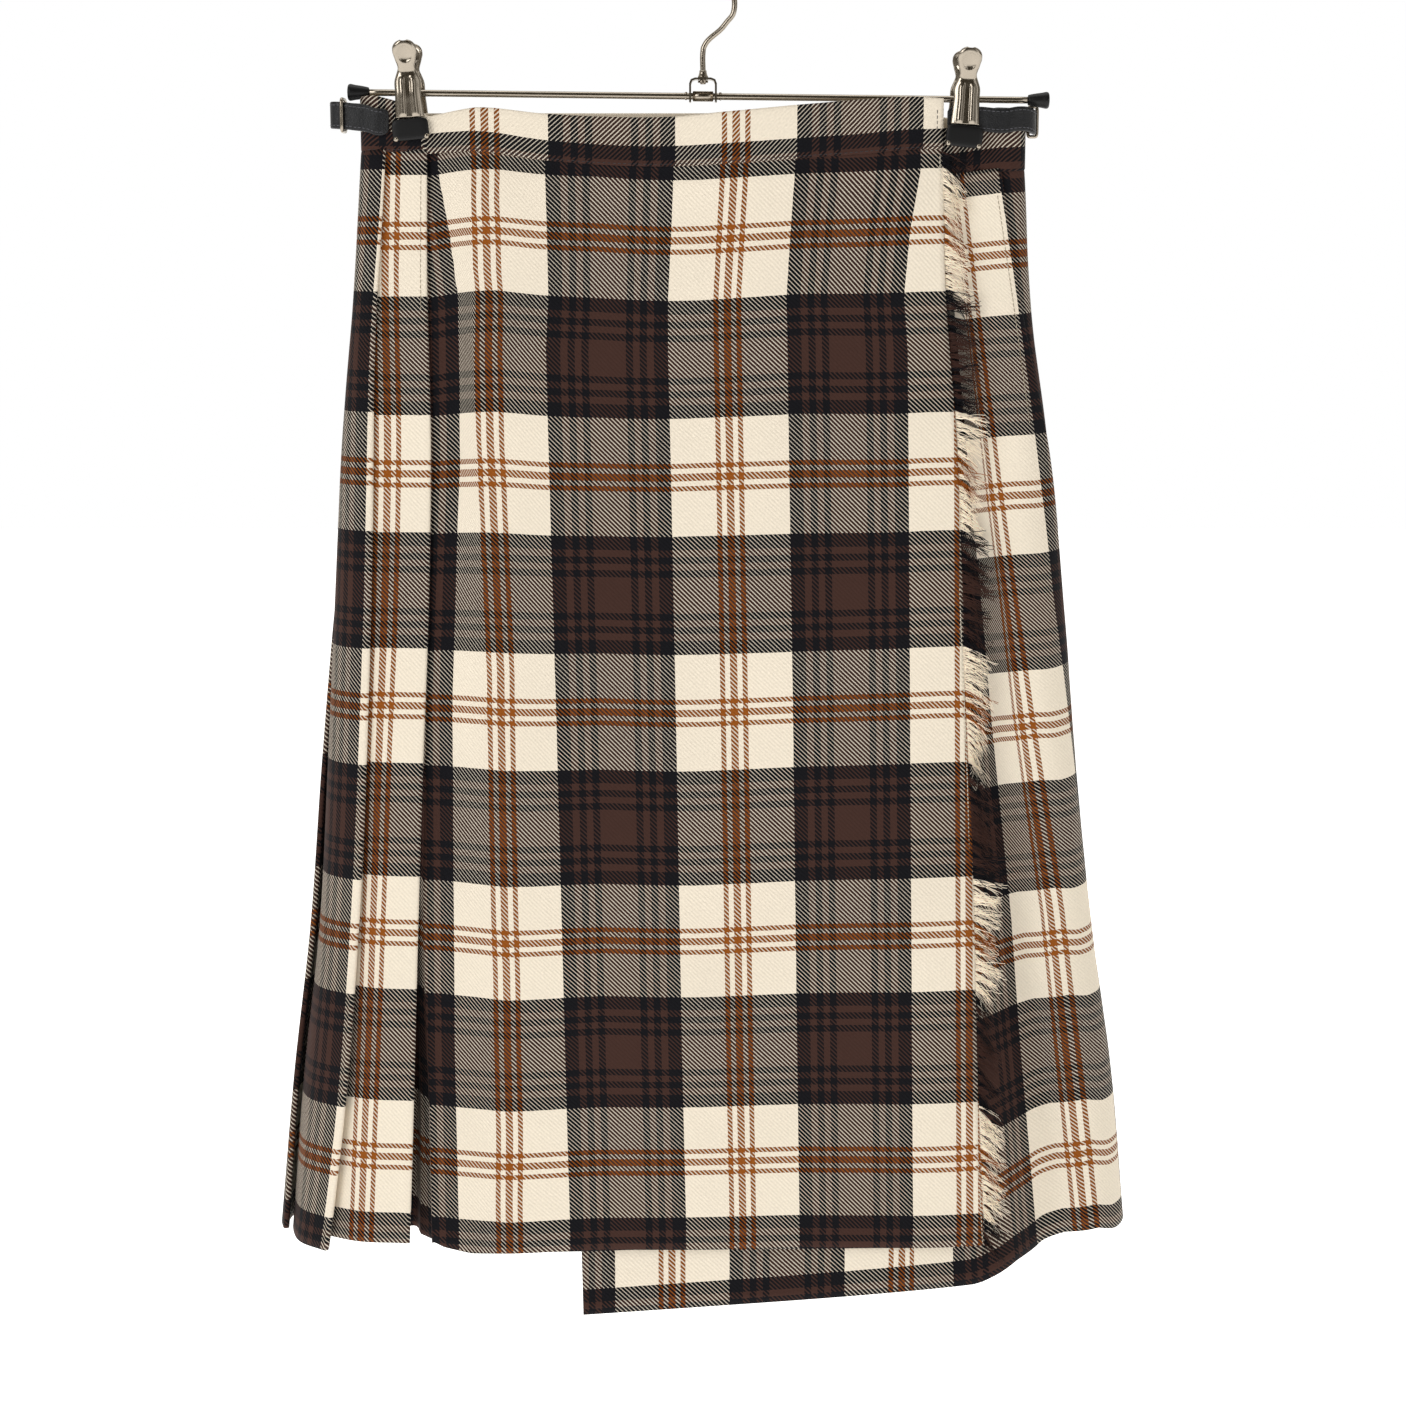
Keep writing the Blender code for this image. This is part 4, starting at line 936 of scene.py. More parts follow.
def apron_across(x, z):
    """Cloth distance to the right of the middle of the dark column by the fold."""
    level = -z / MM
    zs = -np.array(APRON_COLUMNS["z"])
    first, *others = [np.interp(level, zs, APRON_COLUMNS[name]) * MM for name in COLUMN_NAMES]
    shift = np.interp(level, -np.array(MIDDLE_SHIFT["z"]), MIDDLE_SHIFT["shift"]) * MM
    middle = (first + others[0]) / 2 - shift
    beyond = 0.3
    knots = np.array([first - beyond, first, middle - LINES_HALF, middle + LINES_HALF, *others,
                      others[-1] + beyond])
    inner = 2 * BLOCK
    places = np.array([1.5 * BLOCK, inner - LINES_HALF, inner + LINES_HALF]
                      + [(k + 2.5) * BLOCK for k in range(len(others))])
    places = np.concatenate(([places[0] - beyond], places, [places[-1] + beyond]))
    k = np.clip((x[None] >= knots).sum(0) - 1, 0, len(knots) - 2)
    low = np.take_along_axis(knots, k[None], 0)[0]
    high = np.take_along_axis(knots, k[None] + 1, 0)[0]
    return places[k] + (places[k + 1] - places[k]) * (x - low) / (high - low)


def apron_surface():
    """Grid of points and cloth places of the outer apron, one row for each level.

    Ridges and waves are added outwards and fade at the seam and beside the first fold.
    """
    rows, cloth = [], []
    for ring in RINGS:
        u, h, count = apron_line(ring)
        z = apron_heights(ring, u)
        x, y = ring.place(u, h)
        fade = smooth(0, 18 * MM, -ring.open_gap - u) * smooth(0.0, 0.05, ring.v)
        relief = np.maximum(apron_relief(x, z), -0.7 * MM) * fade
        relief -= SEAM_VALLEY * (ring is WAIST)
        x, y = ring.place(u, h + relief)
        rows.append(np.stack((x, y, z), -1))
        across = apron_across(x[:count], z[:count])
        far = arc_length(x, y)
        rest = across[-1] - (far[count:] - far[count - 1])
        down = row_place(ring.v, 0) + (row_waves(x, z) - apron_drop(ring, u)) * BLOCK / ROW_PITCH
        cloth.append(np.stack((np.concatenate((across, rest)), down), -1))
        if ring is WAIST:
            top = u, HIP_BAND + (h - HIP_BAND) / TUCKED
    return tucked(np.array(rows), np.array(cloth), top)


def inner_line(ring):
    """The inner apron at one level: the layer under the last fold, the fold and the face."""
    fold, pitch = ring.folds[PLEATS], ring.pitches[PLEATS]
    depth = ring.folded * pitch
    back = np.linspace(depth, 0, LAYER_POINTS)
    low_back = ring.top - ring.step * (1 + ring.folded) + ring.layer
    h_back = np.linspace(low_back, ring.top - ring.layer, len(back))
    u_fold, h_fold = fold_round(fold, h_back[-1], ring.top, -1)
    edge = ring.inner_edge - fold
    along = np.concatenate((
        np.linspace(0, depth, 9), depth + np.linspace(0, 1, 34)[1:] * (edge - depth),
        edge + np.linspace(0, 1, 45)[1:] * (ring.free - ring.inner_edge)))
    low = 0.4 * MM + 1.8 * MM * ring.v
    slope = ring.top - ring.step * along / pitch
    lying = low + (slope - low) * (1 - smooth(depth, 0.6 * edge + 0.4 * depth, along))
    h = np.where(along <= depth, slope, lying)
    centre = ring.right_side + (62 - 12 * (1 - ring.v)) * MM - fold
    h = h - ring.hollow * np.exp(-((along - centre) / (24 * MM)) ** 2)
    u = np.concatenate((fold + back, u_fold, fold + along))
    return u, np.concatenate((h_back, h_fold, h))


# The inner apron's light column: x of its middle, and how wide its right half is where the
# cloth slopes away, by level in mm
INNER_LIGHT = {
    "z": (-97, -177, -260, -320, -380, -430, -490, -600, -690),
    "middle": (126.5, 137.0, 148.6, 157.8, 166.3, 174.6, 184.8, 199.6, 211.5),
    "right": (22.8, 25.5, 27.0, 28.0, 33.0, 36.0, 38.0, 38.0, 38.0),
}
# x of the middles of the next two light columns, under the outer apron, in mm
INNER_NEXT = (107.1, -16.7)


def inner_surface():
    """Grid of points and cloth places of the inner apron, one row for each level.

    The cloth's place across runs evenly between the middles of its light columns.
    """
    rows, cloth = [], []
    start = LAYER_POINTS + FOLD_POINTS
    for ring in RINGS:
        u, h = inner_line(ring)
        x, y = ring.place(u, h)
        z = inner_heights(ring, u)
        rows.append(np.stack((x, y, z + side_rise(ring, x)), -1))
        level = -z[start] / MM
        far = arc_length(x, y)
        zs = -np.array(INNER_LIGHT["z"])
        widest = start + int(np.argmax(x[start:]))
        middle_x = np.interp(level, zs, INNER_LIGHT["middle"]) * MM
        middle = np.interp(-middle_x, -x[widest:], far[widest:])
        right = middle - np.interp(level, zs, INNER_LIGHT["right"]) * MM
        flat = u > ring.inner_edge - 20 * MM
        nexts = [np.interp(-place * MM, -x[flat], far[flat]) for place in INNER_NEXT]
        knots = [right - 1.0, right, middle, *nexts, nexts[-1] + 1.0]
        places = [BLOCK / 2 + 1.0, BLOCK / 2, 0, -2 * BLOCK, -4 * BLOCK, -4 * BLOCK - 1.0]
        across = np.interp(far, knots, places)
        cloth.append(np.stack((across, row_place(ring.v, 1.0) + 0 * u), -1))
        if ring is WAIST:
            top = u, np.minimum(h, HIP_BAND + (h - HIP_BAND) * TUCKED)
    return tucked(np.array(rows), np.array(cloth), top)


def cloth_piece(name, points, cloth):
    """A woven wall through a grid of points, with its places on the flat cloth."""
    obj = make_piece(name + "_cloth", points, grid_faces(*points.shape[:2]), "tartan", cloth)
    thicken(obj, WALL)
    put(obj, "tartan_cloth", name)
    return obj


class SKIRT_OT_outer_apron(bpy.types.Operator):
    """Make the outer apron, from its fringed edge to the first fold"""
    bl_idname = "skirt.outer_apron"
    bl_label = "Outer apron"

    def execute(self, context):
        points, cloth = apron_surface()
        cloth_piece("outer_apron", points, cloth)
        return {"FINISHED"}


class SKIRT_OT_pleats(bpy.types.Operator):
    """Make the knife pleats of the left hip, the back and the right hip"""
    bl_idname = "skirt.pleats"
    bl_label = "Knife pleats"

    def execute(self, context):
        for name, first, last in PLEAT_NODES:
            points, cloth = pleat_surface(first, last)
            cloth_piece(name, points, cloth)
        return {"FINISHED"}


class SKIRT_OT_inner_apron(bpy.types.Operator):
    """Make the inner apron, from the last fold to its free edge under the outer apron"""
    bl_idname = "skirt.inner_apron"
    bl_label = "Inner apron"

    def execute(self, context):
        points, cloth = inner_surface()
        cloth_piece("inner_apron", points, cloth)
        return {"FINISHED"}


def rounded_profile(height, wall, corner_points=5):
    """An upright slot-shaped outline as (out, up), starting at the lower outer corner."""
    radius = wall / 2 * 0.96
    centres = ((wall / 2 - radius, height - radius), (radius - wall / 2, height - radius),
               (radius - wall / 2, radius), (wall / 2 - radius, radius))
    sides = 9
    points = []
    for k, (out, up) in enumerate(centres):
        angle = np.linspace(0, math.pi / 2, corner_points) + k * math.pi / 2
        points.append(np.stack((out + radius * np.cos(angle), up + radius * np.sin(angle)), -1))
    down = np.linspace(1, 0, sides)[1:-1, None]
    inner = points[2][0] + (points[1][-1] - points[2][0]) * down
    outer = points[0][0] + (points[3][-1] - points[0][0]) * down
    return np.concatenate((points[0], points[1], inner, points[2], points[3], outer))


def swept(name, line, out, profile, look, scale, uv):
    """A closed profile of (out, up) carried along a level line, with flat ends.

    Each station's up coordinate is scaled, so that the height changes along the line.
    """
    points = line[:, None, :] + out[:, None, :] * profile[None, :, :1]
    points[..., 2] += profile[None, :, 1] * scale[:, None]
    return make_piece(name, points, tube_faces(len(line), len(profile)), look, uv)


def band_line(u, h, seam):
    """World points and outward directions of a stretch of the waistband's middle."""
    x, y = WAIST.place(u, h)
    x2, y2 = WAIST.place(u, h + 1 * MM)
    return np.stack((x, y, seam), -1), unit(np.stack((x2 - x, y2 - y, 0 * x), -1))


def outer_band(u):
    """Heights out and up of the outer waistband: it steps in from the apron to the hip."""
    lay = WAIST.apron + BAND_LAY - HIP_BAND
    h = HIP_BAND + lay * (1 - smooth(-12 * MM, 6 * MM, u))
    return h, np.where(u < 0, apron_heights(WAIST, u), pleat_heights(WAIST, u))


# Height of the waistband along the outer apron, as a share of its usual height
BAND_TOPS = {
    "x": (-176, -165, -150, -138, -114, -79, -51, -15, 8, 47, 78, 106, 121),
    "share": (1.10, 1.12, 0.96, 0.74, 0.87, 0.925, 0.955, 0.98, 1.02, 1.06, 1.08, 1.05, 1.0),
}
BEHIND_TOP = 0.79
# The waistband turns in over this range of y, and its front share begins at these x.
BAND_TURN = (2 * MM, 7 * MM)
BAND_FRONT = (60 * MM, 100 * MM)
# Its dark stripe stands this high above the seam, and its lining is plain.
BAND_DARK = 10 * MM
INNER_BAND_DARK = 12 * MM
LINING = 16 * MM


def build_band(name, u, h, seam, across, dark):
    """A stretch of waistband: a folded strip, dark along the seam and light above it."""
    line, out = band_line(u, h, seam + GAP + WALL / 2)
    profile = rounded_profile(BAND_HEIGHT, BAND_WALL)
    tops = np.interp(line[:, 0], np.array(BAND_TOPS["x"]) * MM, BAND_TOPS["share"])
    if name == "waistband_outer":
        behind = smooth(*BAND_TURN, line[:, 1])
        scale = tops + (BEHIND_TOP - tops) * behind
    elif name == "waistband_back":
        scale = np.full(len(line), BEHIND_TOP)
    else:
        front = smooth(*BAND_FRONT, line[:, 0]) * (1 - smooth(*BAND_TURN, line[:, 1]))
        scale = BEHIND_TOP + (1 - BEHIND_TOP) * front
    up = profile[None, :, 1] * scale[:, None]
    down = -(up - dark - BLOCK / 2)
    side = np.repeat(across[:, None], len(profile), axis=1)
    inside = np.repeat((profile[:, 0] < -0.1 * MM)[None, :], len(line), axis=0)
    cloth = np.stack((np.where(inside, LINING, side), np.where(inside, LINING, down)), -1)
    obj = swept(name + "_cloth", line, out, profile, "band", scale, cloth)
    put(obj, "tartan_cloth", name)
    return obj


class SKIRT_OT_waistband(bpy.types.Operator):
    """Make the waistband in its three stretches"""
    bl_idname = "skirt.waistband"
    bl_label = "Waistband"

    def execute(self, context):
        half = GAP / 2
        left = WAIST.left_side + BAND_JOIN
        right = WAIST.right_side - BAND_JOIN
        u = np.linspace(WAIST.fringe, left - half, 190)
        h, seam = outer_band(u)
        x, _ = WAIST.place(u, h)
        edges = np.array(BAND_COLUMNS) * MM
        places = (np.arange(len(edges)) - 0.5) * BLOCK
        front = np.interp(x, edges, places) + np.maximum(x - edges[-1], 0)
        first = np.interp(-edges[0], -x[:150], u[:150])
        across = np.where(u < first, front, places[0] - (u - first))
        build_band("waistband_outer", u, h, seam, across, BAND_DARK)
        u = np.linspace(left + half, right - half, 110)
        build_band("waistband_back", u, HIP_BAND + 0 * u, pleat_heights(WAIST, u), -u, BAND_DARK)
        u = np.linspace(right + half, WAIST.free, 160)
        start = WAIST.right_side + 6 * MM
        h = HIP_BAND + (0.3 * MM - HIP_BAND) * smooth(start, WAIST.inner_edge - 6 * MM, u)
        middle = WAIST.right_side + 14 * MM
        build_band("waistband_inner", u, h, pleat_heights(WAIST, u), middle + BLOCK - u,
                   INNER_BAND_DARK)
        return {"FINISHED"}


# Fringe

# Locks that the yarns lean together in, and draws for them: more than there are locks
TUFTS = 135
DRAWS = 400
YARN_RADIUS = 0.27 * MM
YARN_SIDES = 3
YARN_KNOTS = 9


def edge_line(shares, inward=0.0, lift=0.0):
    """Points and outward-along directions at shares of the way down the fringed edge."""
    at = np.linspace(0, 1, ROWS)
    here = np.array([ring.place(ring.fringe + inward, ring.apron + lift) for ring in RINGS])
    apart = np.array([ring.place(ring.fringe - 10 * MM, ring.apron + 1.6 * MM) for ring in RINGS])
    rim = np.array([ring.place(ring.fringe, ring.apron) for ring in RINGS])
    out = unit(apart - rim)
    seam = SAG["seam"][-1] * MM
    x, y, way_x, way_y = [np.interp(shares, at, column) for column in (*here.T, *out.T)]
    place = np.stack((x, y, seam + (FRONT_LENGTH_Z - seam) * shares), -1)
    return place, np.stack((way_x, way_y, 0 * shares), -1)


def build_fringe():
    """Frayed weft yarns, each a thin tube that leaves the edge level and droops.

    The droop grows down the edge in slow waves. Yarns lean together in tufts, and each has
    its own length, crinkle and lift.
    """
    settings = bpy.context.scene.skirt_sewing
    count = settings.yarns
    rng = np.random.default_rng(7)
    shares = (np.arange(count) + 0.5 + rng.uniform(-0.4, 0.4, count)) / count
    shares = np.clip(shares, 0.001, 0.999)
    root, way = edge_line(shares, inward=0.8 * MM, lift=0.3 * MM)
    place = shares * TUFTS + 0.35 * np.sin(shares * 61) + 0.25 * np.sin(shares * 173)
    tuft = np.floor(place).astype(int)
    gather = (tuft + 0.5 - place) * FRONT_DROP / TUFTS
    tuft_turn = rng.uniform(-0.34, 0.34, DRAWS)[tuft]
    tuft_long = rng.uniform(0.80, 1.10, DRAWS)[tuft]
    tuft_lift = rng.uniform(-0.2, 1.6, DRAWS)[tuft]
    tuft_grip = rng.uniform(0.4, 1.25, DRAWS)[tuft]
    slow = 0.20 * np.sin(shares * 25.3 + 0.6) + 0.12 * np.sin(shares * 12.1 + 2.0)
    droop = np.radians(24 + 30 * shares) + slow + tuft_turn + rng.normal(0, 0.16, count)
    length = settings.fringe_length * tuft_long * rng.uniform(0.72, 1.06, count)
    t = np.linspace(0, 1, YARN_KNOTS)
    angle = droop[:, None] * (0.45 + 0.8 * t[None, :])
    step = length[:, None] / (YARN_KNOTS - 1)
    out, fall = [np.cumsum(part(angle) * step, axis=1) - part(angle[:, :1]) * step
                 for part in (np.cos, np.sin)]
    crinkle = rng.uniform(0.10, 0.42, count)[:, None] * MM * np.sin(
        t[None, :] * rng.uniform(9, 20, count)[:, None] + rng.uniform(0, 6, count)[:, None])
    lift = (0.3 + 0.9 * tuft_lift + rng.uniform(-0.3, 0.5, count))[:, None] * MM
    lift = lift * np.sin(t * 2.2)[None, :]
    across = np.stack((way[:, 1], -way[:, 0], 0 * shares), -1)
    side = rng.uniform(-0.5, 0.5, count)[:, None] * MM * t[None, :] ** 1.5
    side = side - (gather * tuft_grip)[:, None] * t[None, :] ** 0.8
    path = root[:, None, :] + way[:, None, :] * out[..., None]
    path = path + across[:, None, :] * (lift + 0.6 * crinkle)[..., None]
    path[..., 2] -= fall + crinkle - side
    radius = YARN_RADIUS * (1 - 0.35 * t)
    points = tubes(path, across[:, None], np.array((0, 0, 1.0)), radius, YARN_SIDES)
    tone = rng.uniform(0, 1, count)
    cloth = np.repeat(np.stack((tone, row_place(shares, 0)), -1), YARN_KNOTS * YARN_SIDES, axis=0)
    faces = tube_faces(YARN_KNOTS, YARN_SIDES, count)
    obj = make_piece("fringe_yarns", points, faces, "fringe", cloth)
    return put(obj, "fringe_wool", "fringe")


class SKIRT_OT_fringe(bpy.types.Operator):
    """Make the frayed edge of the outer apron"""
    bl_idname = "skirt.fringe"
    bl_label = "Fringe"

    def execute(self, context):
        build_fringe()
        return {"FINISHED"}


# Stitching

STITCH_SIDES = 6
STITCH_KNOTS = 5
# Stitches lie this far off the cloth's face, or in the waistband's, and this high on the band.
STITCH_LIFT = 0.05 * MM
STITCH_SINK = 0.15 * MM
SEAM_STITCH = 1.9 * MM


def stitch_run(name, line, out, look, slot, length=None, share=0.72, radius=0.2 * MM):
    """Short rounded stitches along a line, each sunk at its ends.

    A stitch is a tube of six sides whose radius and height follow half a sine.
    """
    length = length or bpy.context.scene.skirt_sewing.stitch
    steps = path_length(line)
    count = max(1, int(steps[-1] / length))
    t = np.linspace(0, 1, STITCH_KNOTS)
    at = (np.arange(count)[:, None] + 0.5 + (t[None, :] - 0.5) * share) * length
    middle = np.stack([np.interp(at, steps, line[:, k]) for k in range(3)], -1)
    up = unit(np.stack([np.interp(at, steps, out[:, k]) for k in range(3)], -1))
    lateral = np.cross(unit(np.gradient(middle, axis=1)), up)
    bulge = np.sin(math.pi * (0.08 + 0.84 * t))
    middle = middle + up * (radius * (bulge - 0.5))[None, :, None]
    points = tubes(middle, up, lateral, radius * (0.35 + 0.65 * bulge), STITCH_SIDES)
    faces = tube_faces(STITCH_KNOTS, STITCH_SIDES, count)
    return put(make_piece(name, points, faces, look), slot)


def surface_line(points, rows, column):
    """A line down a cloth grid at one column and its outward directions, raised to the face."""
    line = points[rows, column]
    beside = points[rows, column + 1] - points[rows, column - 1]
    out = unit(np.cross(np.gradient(line, axis=0), beside))
    if out[0, 1] > 0:
        out = -out
    return line + out * (WALL / 2 + STITCH_LIFT), out


def inner_mark(across, rows):
    """A line down the inner apron at one place across the cloth, and its outward directions."""
    points, cloth = inner_surface()
    face = slice(LAYER_POINTS + FOLD_POINTS, 60)
    ends = []
    for place in (across, across - 2 * MM):
        ends.append(np.array([
            [np.interp(-place, -at, row[:, k]) for k in range(3)]
            for row, at in zip(points[rows, face], cloth[rows, face, 0])]))
    out = unit(np.cross((0, 0, 1.0), ends[1] - ends[0]))
    out *= -np.sign(out[:, 1:2])
    return ends[0] + out * (WALL / 2 + STITCH_LIFT), out


class SKIRT_OT_stitching(bpy.types.Operator):
    """Sew the fringe's edge, the stitched-down pleat edges and the end of the waistband"""
    bl_idname = "skirt.stitching"
    bl_label = "Stitching"

    def execute(self, context):
        shares = np.linspace(0.004, 0.998, 260)
        place, way = edge_line(shares, inward=1.6 * MM, lift=WALL / 2)
        out = np.stack((way[:, 1], -way[:, 0], 0 * shares), -1)
        stitch_run("stitches_fringe_edge", place, out, "pale thread", "fringe_wool",
                   length=2.2 * MM, radius=0.3 * MM)
        # The pleat edges' stitches: pale thread darkened as painted shade of their grooves.
        points, _ = pleat_surface(0, 0)
        line, out = surface_line(points, slice(3, int(0.16 * ROWS)), LAYER_POINTS + FOLD_POINTS + 1)
        stitch_run("stitches_first_pleat", line, out, "thread with painted groove shade", "tartan_cloth",
                   radius=0.18 * MM, share=0.85)
        line, out = inner_mark(BLOCK / 2 - 2.6 * MM, slice(3, int(0.24 * ROWS)))
        stitch_run("stitches_last_pleat", line, out, "thread with painted groove shade", "tartan_cloth", share=0.85)
        u = np.full(12, WAIST.fringe + 3.2 * MM)
        seam = apron_heights(WAIST, u) + np.linspace(10, 21, 12) * MM
        line, out = band_line(u, WAIST.apron + BAND_LAY + BAND_WALL / 2, seam)
        stitch_run("stitches_band_end", line, out, "dark thread and painted seam shade", "tartan_cloth")
        # The waist seam: dark stitches drawn thick, both the stitching and painted shade of the
        # groove along the seam.
        u = np.linspace(WAIST.fringe + 1 * MM, WAIST.left_side - 4 * MM, 240)
        h, seam = outer_band(u)
        line, out = band_line(u, h + BAND_WALL / 2 - STITCH_SINK, seam + SEAM_STITCH)
        stitch_run("stitches_waist_seam", line, out, "dark thread and painted seam shade", "tartan_cloth", share=0.95)
        return {"FINISHED"}


# Straps and buckles

def strap_line(side):
    """World points of a strap's middle line, from the front of the waistband to its back."""
    table = STRAPS[side]
    way = -1 if side == "left" else 1
    hip = WAIST.left_side if side == "left" else WAIST.right_side
    ends = []
    for name, turn, inner in (("front", way, 0.6), ("back", -way, 0.85)):
        far, out, z = table[name]
        places = [WAIST.place(hip + turn * far * share * MM, (out + lift) * MM)
                  for share, lift in ((1, 0), (inner, 0.2))]
        ends.append([(float(x), float(y), z * MM) for x, y in places])
    middle = np.array((table["x"], table["y"], table["z"])).T * MM
    return even_line(np.concatenate((ends[0], middle, ends[1][::-1])), 140)


def build_strap(side):
    """A leather strip with rounded edges, following its line round the hip."""
    line = strap_line(side)
    along = unit(np.gradient(line, axis=0) * (1, 1, 0))
    out = np.stack((along[:, 1], -along[:, 0], 0 * along[:, 0]), -1)
    half = len(line) // 2
    if ((line[half] - line.mean(0)) * out[half]).sum() < 0:
        out = -out
    height = STRAPS[side]["height"] * MM
    profile = rounded_profile(height, STRAP_WALL * 0.94, 6)
    steps = path_length(line)
    ends = np.minimum(steps, steps[-1] - steps)
    taper = np.clip(ends / (4.5 * MM), 0, 1)
    scale = 0.62 + 0.38 * np.sqrt(1 - (1 - taper) ** 2)
    base = line.copy()
    base[:, 2] -= height / 2 * scale
    cloth = np.stack(np.broadcast_arrays(steps[:, None], profile[None, :, 1]), -1)
    name = "strap_%s_leather" % side
    obj = swept(name, base, out, profile, "leather", scale, cloth)
    put(obj, "leather", "strap_" + side)
    for edge, up in (("upper", height - 1.7 * MM), ("lower", 1.7 * MM)):
        rows = slice(6, len(line) - 6)
        run = base[rows] + out[rows] * (STRAP_WALL * 0.47 - 0.02 * MM)
        run[:, 2] += up * scale[rows]
        stitch_run("stitches_strap_%s_%s" % (side, edge), run, out[rows], "grey thread", "leather",
                   length=2.3 * MM, radius=0.17 * MM)
    return obj


def tube(name, path, flat, radius, look, sides=16, closed=False):
    """A round wire along a path that lies in the plane whose normal is flat."""
    path = np.asarray(path, float)
    if closed:
        along = np.roll(path, -1, axis=0) - np.roll(path, 1, axis=0)
    else:
        along = np.gradient(path, axis=0)
    flat = unit(np.array(flat, float))
    lateral = unit(np.cross(unit(along), flat))
    points = tubes(path, lateral, flat, np.broadcast_to(radius, len(path)), sides)
    if closed:
        faces = grid_faces(len(path) + 1, sides, wrap=True) % (len(path) * sides)
    else:
        faces = tube_faces(len(path), sides)
    return make_piece(name, points, faces, look)


def build_buckle(side):
    """A rounded rectangle of wire round the strap."""
    centre, across, half = BUCKLES[side]
    centre = np.array(centre) * MM
    across = np.array(across, float)
    wide = half * MM
    tall = STRAPS[side]["height"] * MM / 2 + GAP + BUCKLE_WIRE + 0.1 * MM
    angle = np.linspace(0, 2 * math.pi, 72, endpoint=False)
    square = 2 / 7
    out = np.sign(np.cos(angle)) * np.abs(np.cos(angle)) ** square
    up = np.sign(np.sin(angle)) * np.abs(np.sin(angle)) ** square
    path = centre + across * (out * wide)[:, None] + np.array((0, 0, 1.0)) * (up * tall)[:, None]
    flat = np.cross(across, (0, 0, 1.0))
    obj = tube("buckle_%s_frame" % side, path, flat, BUCKLE_WIRE, "steel", 12, True)
    return put(obj, "buckle_steel", "buckle_" + side)


class SKIRT_OT_straps(bpy.types.Operator):
    """Make the two leather straps and their buckle frames"""
    bl_idname = "skirt.straps"
    bl_label = "Straps and buckles"

    def execute(self, context):
        for side in STRAPS:
            build_strap(side)
            build_buckle(side)
        return {"FINISHED"}


# Hanger

def turned(name, profile, matrix, look, steps=40):
    """A closed profile of radius and height turned about its own Z axis, then placed."""
    cosine, sine = turns(steps)
    radius, height = np.asarray(profile, float).T
    points = np.stack(np.broadcast_arrays(
        radius * cosine[:, None], radius * sine[:, None], height), -1)
    index = np.arange(steps * len(radius)).reshape(steps, -1)
    after = np.roll(index, -1, axis=0)
    quads = np.stack((index, after, np.roll(after, -1, axis=1), np.roll(index, -1, axis=1)), -1)
    return make_piece(name, place_points(points, matrix), quads.reshape(-1, 4), look)


def bar_point(x):
    """The point of the bar's axis at an x."""
    return BAR_LEFT.lerp(BAR_RIGHT, (x - BAR_LEFT.x) / (BAR_RIGHT.x - BAR_LEFT.x))


def ball(name, centres, radius, look, steps=12):
    """Small round bumps: latitude and longitude grids, closed at the poles by tiny rings."""
    lat = np.linspace(-math.pi / 2 + 0.02, math.pi / 2 - 0.02, steps // 2 + 2)[:, None]
    cosine, sine = turns(steps)
    shell = np.stack(np.broadcast_arrays(np.cos(lat) * cosine, np.cos(lat) * sine, np.sin(lat)), -1)
    points = np.array(centres)[:, None, None] + shell * radius
    return make_piece(name, points, tube_faces(len(lat), steps, len(centres), flipped=True), look)


class SKIRT_OT_bar(bpy.types.Operator):
    """Make the hanger's bar, its crimps, its sleeve and its end caps"""
    bl_idname = "skirt.bar"
    bl_label = "Bar and end caps"

    def execute(self, context):
        ends = np.linspace(BAR_LEFT, BAR_RIGHT, 30)
        wire = tube("hanger_bar_wire", ends, (0, 1, 0), BAR_RADIUS, "steel", 24)
        put(wire, "hanger_steel", "hanger_bar")
        sleeve = BAR_RADIUS + 0.9 * MM
        inner = BAR_RADIUS + 0.1 * MM
        profile = [(inner, -5.2 * MM), (inner, 5.2 * MM), (sleeve - 0.3 * MM, 5.2 * MM),
                   (sleeve, 4.9 * MM), (sleeve, -4.9 * MM), (sleeve - 0.3 * MM, -5.2 * MM)]
        middle = Matrix.Translation(bar_point(0)) @ BAR_TURN
        put(turned("bar_sleeve_tube", profile, middle, "steel"), "hanger_steel", "bar_sleeve")
        crimps = []
        for x in (-8.6, 8.8):
            for turn in (0.6, 2.4):
                offset = Vector((0, -math.sin(turn), math.cos(turn))) * BAR_RADIUS
                crimps.append(bar_point(x * MM) + offset)
        put(ball("bar_crimps", crimps, 0.75 * MM, "steel"), "hanger_steel")
        for name, place, way in (("cap_left", BAR_LEFT, -1), ("cap_right", BAR_RIGHT, 1)):
            socket = BAR_RADIUS / MM + 0.1
            outer = np.array([
                (-6.6, 2.2), (-6.2, 2.65), (-3.0, 3.3), (0.2, 3.75), (1.6, 4.05), (2.8, 4.2),
                (3.5, 3.95), (3.95, 3.3), (4.15, 2.0), (4.2, 0.6)])
            finer = eased(np.linspace(0, 9, 40), np.arange(10), outer)
            hollow = [(0.02, 4.2), (0.02, 0.1), (socket, 0.1), (socket, -6.6)]
            profile = np.concatenate((finer[:, ::-1], hollow))[::-1] * MM
            turn = BAR_TURN if way > 0 else BAR_TURN @ Matrix.Rotation(math.pi, 4, "X")
            obj = turned(name + "_vinyl", profile, Matrix.Translation(place) @ turn, "rubber")
            put(obj, "rubber", name)
        return {"FINISHED"}


